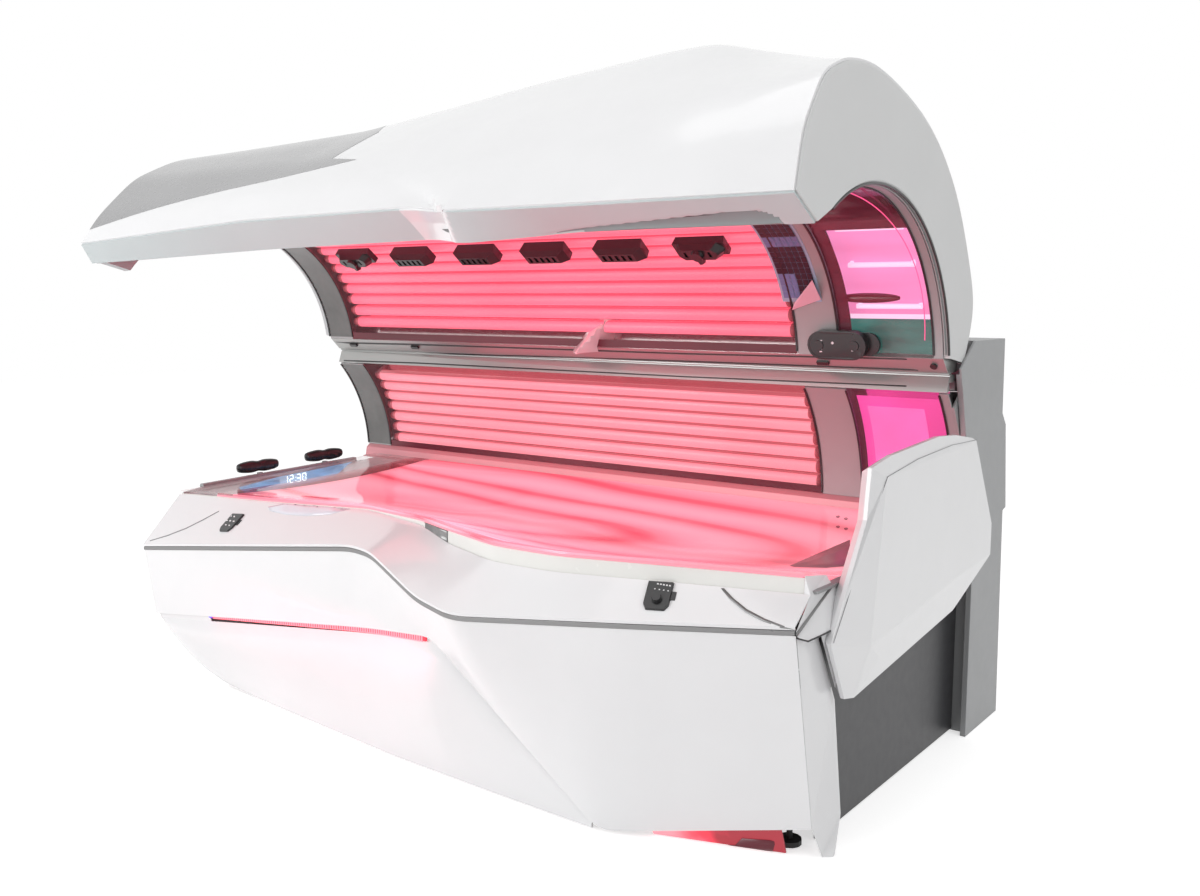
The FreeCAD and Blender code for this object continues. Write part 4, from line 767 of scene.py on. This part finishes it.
def build_rail_lines():
    """Dark gasket lines along the canopy's rail and the rail below it."""
    for name, rail, body, line in (
            ("rail_line_top", "upper_rail", "canopy",
             [(333, 342.5), (420, 344.6), (690, 353.9), (946, 360)]),
            ("rail_line_middle", "upper_rail", "canopy",
             [(346, 349.8), (420, 352.8), (690, 361.4), (948, 371)]),
            ("rail_line_low", "lower_rail", "base",
             [(344, 360.6), (420, 363.2), (690, 377), (949, 388)])):
        fine = [mix(a, b, k / 6) for a, b in zip(line, line[1:]) for k in range(6)] + [line[-1]]
        patch(name, shape_tree(NODES[rail]), body, black, 0.7, 1,
              *[[(u, v + d) for u, v in fine] for d in (-0.65, 0.65)])


def build_pattern():
    """Printed strip on the canopy's divider: dark, blue and pink fields behind a fine grid."""
    verts, faces, slots = [], [], []
    gap, turn_gap = 0.8, 0.8 / 14                    # between the fields, in mm and degrees
    cols, rows = spread(721.0, 821.0, 16.7), spread(27.5, 99.5, 2.4)
    for j, row in enumerate(zip(rows, rows[1:])):
        a0, a1 = row[0] + turn_gap, row[1] - turn_gap
        for i, col in enumerate(zip(cols, cols[1:])):
            x0, x1 = col[0] + gap, col[1] - gap
            k = len(verts)
            verts += [(x, *arc("canopy", -3.0, a))
                      for x, a in ((x0, a0), (x1, a0), (x1, a1), (x0, a1))]
            faces.append((k, k + 1, k + 2, k + 3))
            slots.append(1 if j < 4 and i < 3 or j in (9, 10) else 2 if j in (19, 20, 21) else 0)
    o = piece("divider_print", verts, faces, "canopy", [ink_dark, blue, rose])
    for p, s in zip(o.data.polygons, slots):
        p.material_index = s
    arc_sheet("divider_sheet", "canopy", -1.2, 26, 101, 714, 828, paper, 1.2)
    low = [(x, *arc("canopy", lift, a)) for x, lift, a in
           ((738, -4, 23), (828, -4, 27), (832, -30, 37), (752, -8, 26))]
    thicken(piece("divider_flap", low, [(0, 1, 2, 3)], "canopy", flap_pink), 1.2)


# ---- base
def along_trim(name, corners, material, **more):
    """Bar that follows the trim; its corners are (y, z) steps from it."""
    rows = []
    for x in spread(FRONT_X0, FRONT_X1, 15):
        y, z = soft_at(TRIM, x)
        rows.append([(x, y + dy, z + dz) for dy, dz in corners])
    return grid(name, rows, "base", material, smooth=False, close=True, **more)


def build_front():
    """Front cover down to its fold, the trim with its gasket, and the rim above it."""
    rows = []
    for x in spread(FRONT_X0, 1158.2, 20):
        y, z = soft_at(TRIM, x)
        fx = max(x, FOLD[0][0])
        fold = (fx, *soft_at(FOLD, fx, 30))
        rows.append([mix((x, y, z - 6.3), fold, k / 12) for k in range(13)])
    grid("front_skin", rows, "base", white, 5.0, replaces=("front_cover",))
    bar = along_trim("trim_strip", ((-2.5, 5.4), (-2.5, -5.4), (6, -5.4), (6, 5.4)), trim,
                     replaces=("front_trim",))
    round_edges(bar, 1.2)
    along_trim("trim_gasket", ((1, 5.9), (6, 5.9), (6, 7.2), (1, 7.2)), black)
    rows = []
    for x in spread(FRONT_X0, FRONT_X1, 20):
        y, z = soft_at(TRIM, x)
        front, back = (x, y, z + 11.3), (x, soft_at(EDGE, x)[0] + 2.7, soft_at(RIM_TOP, x)[0])
        rows.append([(x, y + 0.5, z + 7.2)] + [mix(front, back, k / 10) for k in range(11)])
    grid("rim_skin", rows, "base", white, 4.0, replaces=("rim_cover",))


def bed_z(y, ey, ez, sag):
    """Height of the lying surface behind its front edge (ey, ez)."""
    front, back = ey + 16, BACK_Y - 16
    u = min(max((back - y) / (back - front), 0), 1)
    return BACK_Z + (ez - BACK_Z) * u - sag * 4 * u * (1 - u)


def build_bed():
    """Lying surface, the band below its front edge and the lit edge itself."""
    sheet, band = [], []
    for x in spread(BED_X0, BED_X1, 20):
        ey, ez, sag = soft_at(EDGE, x)
        ys = [ey + (BACK_Y - 2.6 - ey) * k / 40 for k in range(41)]
        sheet.append([(x, y, bed_z(y, ey, ez, sag)) for y in ys])
        band.append([(x, ey + 2.8, ez - 6.4), (x, ey + 2.8, ez - 60)])
    o = grid("lying_sheet", sheet, "lying_surface", [bed, bed_foot, bed_band], 5.5,
             replaces=("bench_acrylic",))
    for p in o.data.polygons:
        x = sum(o.data.vertices[i].co.x for i in p.vertices) / len(p.vertices) / MM
        p.material_index = 1 if x < -905 else 2 if x < -820 else 0
    grid("band_skin", band, "base", cream, 8.0, replaces=("bench_band",))
    edge = []
    for x in spread(-900, 1140, 20):
        ey, ez, sag = soft_at(EDGE, x)
        edge.append((x, ey + 1.0, ez - 3.0))
    rod("sheet_edge", edge, 2.6, "lying_surface", edge_glow)


SHIELD_RIM = [  # x, y, z round the shield's outer edge
    (1198, -288, 841), (1199, -190, 857), (1200, 92, 872), (1200, 208, 864), (1200, 322, 846),
    (1200, 402, 739), (1200, 472, 626), (1200, 478, 516), (1199, 420, 481), (1198, 271, 427),
    (1198, 236, 414), (1198, -346, 351), (1197, -392, 361), (1198, -466, 497), (1198, -411, 578),
    (1198, -306, 731)]
SHIELD_FACE = [  # corners of its facets
    (1212, -240, 816), (1206, 337, 838), (1208, 478, 602), (1206, 485, 516), (1214, 243, 511),
    (1214, -303, 459), (1203, 281, 439), (1204, -48, 429), (1206, -240, 415), (1204, -325, 375)]


def build_shield():
    """Faceted head shield, its widest outline on the outer side."""
    n = len(SHIELD_RIM)
    back = [(1167, 60 + 0.95 * (y - 60), 600 + 0.95 * (z - 600)) for x, y, z in SHIELD_RIM]
    side = [(1188, y, z) for x, y, z in SHIELD_RIM]
    verts = SHIELD_RIM + SHIELD_FACE + side + back
    f = [n + k for k in range(len(SHIELD_FACE))]
    s0, b0 = n + len(SHIELD_FACE), 2 * n + len(SHIELD_FACE)
    faces = [(15, f[0], f[5], 13, 14), (0, f[0], 15), (0, 1, f[0]), (1, 2, 3, 4, f[1], f[0]),
             (f[0], f[1], f[2], f[3], f[4], f[5]), (4, 5, 6, 7, f[3], f[2], f[1]),
             (f[4], f[3], f[6], f[7], f[8], f[5]), (f[3], 7, 8, 9, f[6]),
             (f[6], 9, 10, 11, f[9], f[8], f[7]), (f[5], f[8], f[9], 11), (f[5], 11, 12, 13)]
    for k in range(n):
        m = (k + 1) % n
        faces += [(k, m, s0 + m, s0 + k), (s0 + k, s0 + m, b0 + m, b0 + k)]
    faces.append(tuple(b0 + k for k in range(n)))
    o = piece("shield_shell", verts, faces, "base", white, False, ("head_shield",))
    bm = bmesh.new()
    bm.from_mesh(o.data)
    bmesh.ops.recalc_face_normals(bm, faces=bm.faces[:])
    bm.to_mesh(o.data)
    bm.free()
    round_edges(o, 1.6, 12)
    seam = [(1213, -240, 817), (1202.5, -311, 700), (1200, -350, 640), (1200.4, -402, 572),
            (1200, -458, 500)]
    rod("shield_seam_side", seam, 0.7, "base", crease, 6)
    seam = [(1213, -240, 817.5), (1210, -60, 836), (1208, 160, 845), (1206.5, 336, 840)]
    rod("shield_seam_top", seam, 0.7, "base", crease, 6)


def build_corner():
    """White corner between the rim, the lying surface and the head shield."""
    fill = [(1157.5, -545, 533), (1157.5, -482, 597), (1157.5, -380, 599), (1142.5, -479, 636),
            (1142.5, -380, 619), (1142.5, -481, 590)]
    piece("corner_fill", fill, [(0, 1, 2), (1, 3, 4, 2), (1, 5, 3)], "base", white)
    high = [(1160, -543, 526), (1160, -470, 558), (1160, -380, 598), (1166, -300, 598)]
    low = [(1182, -541, 521), (1185, -500, 522), (1186, -450, 523), (1186, -300, 525)]
    grid("corner_panel", [[mix(a, b, k / 8) for a, b in zip(high, low)] for k in range(9)],
         "base", white)
    side = [(1180, -478, 521), (1180, -400, 521), (1180, -392, 430), (1180, -402, 385),
            (1180, -429, 432)]
    piece("corner_side", side, [(0, 1, 2, 3, 4)], "base", white)
    rod("corner_trim", [(1158, -546, 529), (1158, -380, 600), (1164, -290, 600)], 3.4, "base",
        trim)
    rod("corner_gasket", [(1160, -546, 524), (1184, -541, 521), (1188, -470, 521),
                          (1188, -400, 522)], 1.8, "base", black)


def build_hull():
    """Curved cover from the fold in to the keel."""
    rows = []
    for x in spread(-1040, 680, 20):
        y, z, tuck = soft_at(KEEL, x, 30)
        fy, fz = soft_at(FOLD, x, 30)
        top = max(fz + tuck, z + 10)
        h = top - z
        pts = [(fy + 14, top), (fy + 14 - min(11.0, 0.12 * h), top - 0.28 * h),
               (0.45 * fy + 0.55 * y + 3, z + 0.25 * h), (y, z)]
        rows.append([(x, *p) for p in spline(pts, 0, 6)])
    grid("hull_skin", rows, "base", white, 5.0, replaces=("hull_cover",))


def build_light_strip():
    """Row of small bright slats under the fold, and a violet end light."""
    verts, faces = [], []
    count, wide = 96, 5.5
    for i in range(count):
        x = -742 + 958 * i / count
        fy, fz = soft_at(FOLD, x, 30)
        h = 17 * (0.4 + 0.6 * (x + 760) / 985)
        faces += [[len(verts) + c for c in side] for side in BOX]
        verts += [(x + dx, fy + 5.8 + dy, fz + dz) for dy in (0, 3)
                  for dx, dz in ((0, 0.5), (wide, 0.5), (wide, -h), (0, -h))]
    piece("strip_slats", verts, faces, "base", slat)
    rows = []
    for x in spread(-1038, -764, 20):
        fy, fz = soft_at(FOLD, x, 30)
        rows.append([(x, fy + 7, fz + 2), (x, fy + 14, fz - 19)])
    grid("fold_filler", rows, "base", white, 2.0)
    fy, fz = soft_at(FOLD, -752, 30)
    rod("strip_end", [(-762, fy + 5, fz - 3), (-746, fy + 5, fz - 2.6)], 2.6, "base", violet)


# ---- small parts on the rim
def build_rim_details():
    """Grooves, touch field and printed marks, placed by pixels of the photograph."""
    rim = shape_tree(bpy.data.objects["rim_skin"])
    patch("corner_groove", rim, "base", trim, 0.8, 2,
          [(724, 588.5), (734, 599), (747, 609.5), (765, 619), (782, 625.5), (795, 630)],
          [(721, 588.5), (731, 600.5), (744.5, 612), (763, 621.5), (781, 628), (795, 631.2)])
    patch("foot_crease", rim, "base", crease, 0.5, 1,
          [(150, 540.5), (168, 535), (186, 528), (203, 519.5), (219, 511)],
          [(150, 541.3), (168, 536), (186, 529), (203, 520.5), (219, 511.6)])
    patch("touch_field", rim, "base", lavender, 0.6, 4,
          [(268, 507), (285, 501.5), (305, 499.5), (330, 501), (352, 506)],
          [(270, 511), (285, 514.5), (305, 516), (330, 514.5), (352, 508)])
    marks = [(274 + 8.6 * i, 511 - 1.6 * sin(0.35 * i) - 0.35 * i, 2.4, 1.6, -20)
             for i in range(9)]
    strokes("touch_marks", rim, marks + dots(4, 287, 9, 504.6, -0.3, 2.8, 1.0, -20), "base", ink)
    pads = shape_tree(NODES["keypads"])
    foot = (dots(3, 228, 3.2, 515.5, 0.6, 1.6, 1.4, -10)
            + dots(3, 227, 3.4, 520.5, 0.5, 1.8, 1.4, -10)
            + dots(2, 226, 3.4, 525, 0.5, 1.5, 1.2, -10))
    head = dots(5, 658, 3.0, 584, 0.5, 1.9, 1.5, 5) + dots(4, 655, 4.4, 589, 0.7, 1.4, 1.2, 5)
    strokes("panel_marks_foot", pads, foot, "base", pale_ink, 0.9)
    strokes("panel_marks_head", pads, head, "base", pale_ink, 0.9)


def build_display():
    """Foot console as seen through the lying surface: pale and beige glass with a lit display."""
    for name, x0, x1, material in (("foot_panel", -1088, -880, frost),
                                   ("foot_panel_end", -879, -822, beige)):
        rows = []
        for x in spread(x0, x1, 20):
            ey, ez, sag = soft_at(EDGE, x)
            rows.append([(x, y, bed_z(y, ey, ez, sag) - 8.5) for y in spread(ey + 4, 385, 30)])
        grid(name, rows, "base", material, 1.2)
    glass = shape_tree(bpy.data.objects["foot_panel"])
    patch("display_face", glass, "base", display, 0.7, 4,
          [(239, 487.5), (280, 476), (320, 467), (352, 460.8)],
          [(246, 494.2), (286, 487.5), (322, 480), (338, 474)])
    patch("display_edge", glass, "base", black, 0.9, 1, [(203, 488.6), (285, 472.6), (362, 457)],
          [(203, 490), (285, 474.2), (362, 458.4)])
    # lit bars of each digit, and each bar's place and size in pixels
    shapes = {"1": "bc", "2": "abged", "3": "abgcd", "0": "abcdef"}
    bars = {"a": (2, 0, 3.4, 0.9), "g": (2, 3.6, 3.4, 0.9), "d": (2, 7.2, 3.4, 0.9),
            "f": (0.4, 1.8, 0.9, 3.2), "b": (3.6, 1.8, 0.9, 3.2), "e": (0.4, 5.4, 0.9, 3.2),
            "c": (3.6, 5.4, 0.9, 3.2)}
    marks = []
    for i, digit in enumerate("1230"):
        left, top = 284 + 5.6 * i + (1.6 if i > 1 else 0), 477.2 - 1.1 * i
        for key in shapes[digit]:
            u, v, w, h = bars[key]
            marks.append((left + u, top + v - 0.2 * u, w, h, -11))
    marks += [(295.9, 477.6, 0.9, 0.9, 0), (295.9, 481.2, 0.9, 0.9, 0)]
    strokes("display_digits", glass, marks, "base", digits, 1.4)


def build_jet(name, node, body, y, z):
    """Rounded air jet with two lobes on the foot bar."""
    rows, sides = [], 20
    for k in range(33):
        t = k / 32
        r = 17.0 * sin(pi * t) ** 0.22 * (1 - 0.2 * exp(-((t - 0.5) / 0.1) ** 2))
        rows.append([(-1118.5 + r * cos(2 * pi * j / sides), y + 172 * (t - 0.5),
                      z + 5 + 1.3 * r * sin(2 * pi * j / sides)) for j in range(sides)])
    grid(name, rows, body, black, close=True, replaces=(node,))
    for k in (-3, -2, -1, 1, 2, 3):
        c = y + 20 * k
        rod("%s_slot_%d" % (name, k + 3), [(-1108, c, z - 11), (-1101.8, c, z), (-1108, c, z + 11)],
            1.2, body, steel, 6)


def build_small():
    """Display, air jets, and small parts on the pod, the strips, the band and the sheet."""
    build_display()
    build_jet("jet_hood_front", "foot_nozzle_front", "jet_front", -126, 617)
    build_jet("jet_hood_rear", "foot_nozzle_rear", "jet_rear", 162, 624)
    pod = shape_tree(NODES["control_pod"])
    marks = dots(6, 821, 0, 340.5, 2.2, 2.6, 1.2, 0) + dots(5, 852.5, 0, 342, 2.2, 2.2, 1.1, 0)
    strokes("pod_marks", pod, marks + [(832.5, 343, 2.4, 2.4, 45)], "canopy", pale_ink, 0.9)
    patch("under_glow_dark", shape_tree(NODES["light_strips"]), "base", dusk, 0.9, 2,
          [(742, 838), (770, 840), (800, 842)], [(728, 852), (766, 857), (800, 861)])
    corners, faces = [], []
    for mesh in (bpy.data.objects[n].data for n in ("band_skin", "rim_skin")):
        faces += [[len(corners) + i for i in p.vertices] for p in mesh.polygons]
        corners += [v.co.copy() for v in mesh.vertices]
    patch("band_plate", BVHTree.FromPolygons(corners, faces), "base", trim, 1.2, 5,
          [(425.6, 520), (437, 524), (448, 529.5)], [(426, 538.5), (437, 545), (447.6, 549)])
    sheet = shape_tree(bpy.data.objects["lying_sheet"])
    for i, (u, v) in enumerate(((838, 517), (846, 519), (838, 527), (846, 529))):
        p, n = hit(sheet, u, v)
        rod("sheet_screw_%d" % i, [tuple(p - n * 0.5), tuple(p + n * 1.8)], 4.5,
            "lying_surface", steel, 12)
    patch("head_plate", sheet, "lying_surface", head_plate, 0.7, 3,
          [(790, 566), (815, 555), (850, 540)], [(794, 567), (826, 568), (850, 566)])


# ---- build
make_camera()
make_world()
make_floor()
area_light("key", (-2.2, -5.6, 2.2), (0.1, -0.4, 0.6), (4.5, 3.0), 200)
area_light("top", (0.3, -0.4, 5.0), (0.2, 0, 0.5), (4.0, 3.0), 35)
area_light("strip_glow", (-0.22, -0.7, 0.33), (-0.22, -0.57, 0.18), (0.9, 0.03), 0.2,
           (1.0, 0.12, 0.25))
area_light("side", (4.8, -1.2, 2.6), (0.5, 0, 0.7), (2.5, 2.5), 46)

white = surface("white_gloss", (0.8, 0.8, 0.81), 0.2, coat=0.5, mottle=0.012, grain=0.03)
cream = surface("cream_gloss", (0.78, 0.78, 0.75), 0.25, coat=0.4, mottle=0.015, grain=0.03)
# light grey, darker than the white shell: on the fascia this is painted shade of its downward face;
# the canopy's foot end and the bench liner share it
fascia = surface("light_grey", (0.55, 0.6, 0.605), 0.5, mottle=0.015, grain=0.03)
# darker grey on the recess's faces: painted shade inside the recess
recess = surface("fascia_recess_painted_shade", (0.27, 0.3, 0.305), 0.45, mottle=0.015, grain=0.03)
cap = surface("end_cap_grey", (0.66, 0.665, 0.665), 0.4, mottle=0.012, grain=0.03)
rib_dark = surface("rib_dark", (0.1, 0.105, 0.1), 0.22, coat=0.4, mottle=0.25, mottle_scale=9,
                   grain=0.05)
brushed = dict(mottle_scale=9, grain_scale=300, stretch=(0.03, 1, 1))
# pink on the base rail is painted reflection of the lamps' glow on its metal
rail_pink_reflection = surface("rail_lit", (0.6, 0.27, 0.3), 0.45, 0.2, mottle=0.08, grain=0.1, **brushed)
beige = surface("console_beige", (0.5, 0.42, 0.37), 0.35, coat=0.3, mottle=0.08, grain=0.05)
frost = surface("console_glass", (0.66, 0.68, 0.7), 0.2, coat=0.4, mottle=0.04)
ink_dark = surface("print_ink", (0.012, 0.012, 0.022), 0.3, mottle=0.2)
flap_pink = surface("print_flap", (0.78, 0.5, 0.58), 0.35, mottle=0.05)
silver = surface("silver_paint", (0.33, 0.33, 0.335), 0.28, 0.35, coat=0.4, grain=0.08)
column = surface("column_paint", (0.33, 0.335, 0.34), 0.42, 0.2, grain=0.15)
dark = surface("dark_grey", (0.036, 0.036, 0.039), 0.42, mottle=0.06, grain=0.2)
alu = surface("aluminium", (0.38, 0.39, 0.38), 0.34, 0.7, mottle=0.05, grain=0.12, **brushed)
trim = surface("trim_metal", (0.22, 0.22, 0.22), 0.3, 0.6, mottle=0.05, grain=0.1, **brushed)
mirror = surface("reflector", (0.78, 0.7, 0.7), 0.14, 1.0, mottle_scale=12)
rib = surface("rib_grey", (0.36, 0.37, 0.37), 0.4, 0.2, grain=0.1)
black = surface("black_plastic", (0.012, 0.012, 0.013), 0.3, coat=0.2, mottle=0.1, grain=0.25)
rubber = surface("rubber", (0.01, 0.01, 0.01), 0.6, mottle=0.1, grain=0.3)
steel = surface("black_steel", (0.03, 0.03, 0.031), 0.45, 0.3, mottle=0.1, grain=0.3)
chrome = surface("chrome", (0.75, 0.75, 0.77), 0.12, 1.0)
crease = surface("crease", (0.25, 0.25, 0.26), 0.5)
ink = surface("ink", (0.05, 0.04, 0.1), 0.5, mottle=0.1)
pale_ink = surface("pale_ink", (0.75, 0.75, 0.76), 0.5, mottle=0.05)
lavender = surface("lavender", (0.755, 0.75, 0.82), 0.2, coat=0.4, mottle=0.04)
holder = surface("holder", (0.6, 0.16, 0.19), 0.45, mottle=0.05, grain=0.1)
blue = surface("print_blue", (0.16, 0.22, 0.42), 0.35, mottle=0.1)
rose = surface("print_rose", (0.8, 0.36, 0.45), 0.35, mottle=0.1)
paper = surface("print_ground", (0.36, 0.47, 0.6), 0.3, mottle=0.06)
head_plate = surface("head_plate", (0.42, 0.22, 0.25), 0.3, mottle=0.06)
red_tones = tube_tones("canopy_tube", ((1.0, 0.17, 0.25), 1.12), ((1.0, 0.14, 0.215), 1.1),
                       ((0.8, 0.075, 0.13), 1.05))
pale_tones = tube_tones("side_tube", ((1.0, 0.29, 0.35), 1.0), ((0.95, 0.24, 0.3), 1.0),
                        ((0.5, 0.1, 0.12), 1.0))
bed_tones = tube_tones("bed_tube", ((1.0, 0.26, 0.34), 0.9), ((0.9, 0.17, 0.25), 0.9),
                       ((0.6, 0.06, 0.11), 0.9))
tube_face = glowing("face_tube", (1.0, 0.62, 0.84), 1.05)
face_glow = glowing("face_reflector", (1.0, 0.27, 0.55), 0.95, 0.15, 6.0, (0.2, 1, 3))
face_band = glowing("face_band", (1.0, 0.2, 0.28), 1.0)
magenta = glowing("side_face_field", (0.8, 0.07, 0.34), 0.95, 0.2, 4.0)
magenta_pale = glowing("side_face_disc", (0.93, 0.15, 0.48), 0.95, 0.15, 6.0)
dusk = glowing("dark_red", (0.13, 0.005, 0.018), 0.6, 0.3)
teal = glowing("teal_reflection", (0.01, 0.14, 0.12), 0.8, 0.5, 9.0, (1, 1, 3))
pinkline = glowing("pink_line", (1.0, 0.1, 0.3), 1.0)
strip = strip_light("light_strip")
slat = glowing("strip_slat", (1.0, 0.16, 0.2), 2.2)
violet = glowing("strip_end_light", (0.12, 0.06, 0.8), 1.5)
edge_glow = glowing("sheet_edge_glow", (0.98, 0.3, 0.38), 0.9)
digits = glowing("digits", (0.75, 0.92, 1.0), 2.2)
display = glowing("display", (0.12, 0.34, 0.62), 0.95, 0.4, 12.0)
pane = clear("acrylic", (0.9, 0.35, 0.42), 0.05)
smoke = clear("smoked_edge", (0.1, 0.005, 0.025), 0.86)
bed = lying_sheet("lying_acrylic")
bed_foot = clear("lying_acrylic_foot", (0.7, 0.66, 0.64), 0.22)
bed_band = clear("lying_acrylic_band", (0.55, 0.12, 0.16), 0.6)

paint(white, "corner_cover", "foot_end_cover")
paint(fascia, "canopy_end_foot", "bench_liner")
paint(column, "column_foot", "column_head", "head_ledge", "foot_rail")
paint(dark, "head_end_panel", "rear_cover")
paint(beige, "console")
paint(rail_pink_reflection, "base_rail")
paint(alu, "upper_rail", "lower_rail")
paint(mirror, "canopy_tray", "side_tray", "bench_tray")
paint(rib, "canopy_ribs", "side_ribs")
paint(pane, "canopy_panes", "side_panes")
paint(tube_face, "face_lamps")
paint(holder, "canopy_holders", "base_holders")
paint(black, "air_outlets", "control_pod", "keypads", "foot_nozzle_front", "foot_nozzle_rear",
      "swivel_foot", "swivel_head", "canopy_lip", "mains_inlet", "fan_housing", "fan_rotor",
      "rail_clips", "pod_key_1", "pod_key_2", "volume_knob")
paint(strip, "light_strips")
paint(chrome, "spring_rods")
paint(steel, "base_frame", "spring_cylinders", "hinge_levers", "ballasts")
paint(rubber, "levelling_feet")
soften_edges(2.0, "corner_cover", "upper_rail", "lower_rail", "base_rail",
             "column_head", "column_foot")
soften_edges(1.0, "air_outlets", "control_pod", "keypads", "swivel_foot", "swivel_head",
             "foot_rail")

for build in (build_shell, build_fascia, build_end, build_fields, build_rail_lines,
              build_pattern, build_front, build_corner, build_shield, build_bed, build_hull,
              build_light_strip, build_rim_details, build_small):
    build()


def toward(centre):
    """Angle at which a lamp faces the middle of its tunnel."""
    return lambda y, z: degrees(atan2(centre[1] - z, centre[0] - y))


round_lamps("canopy_tubes", "canopy_lamps", "canopy", red_tones, toward(TUNNEL))
round_lamps("side_tubes", "side_lamps", "base", pale_tones, toward(SIDE))
round_lamps("bench_tubes", "bench_lamps", "base", bed_tones, lambda y, z: 90.0)
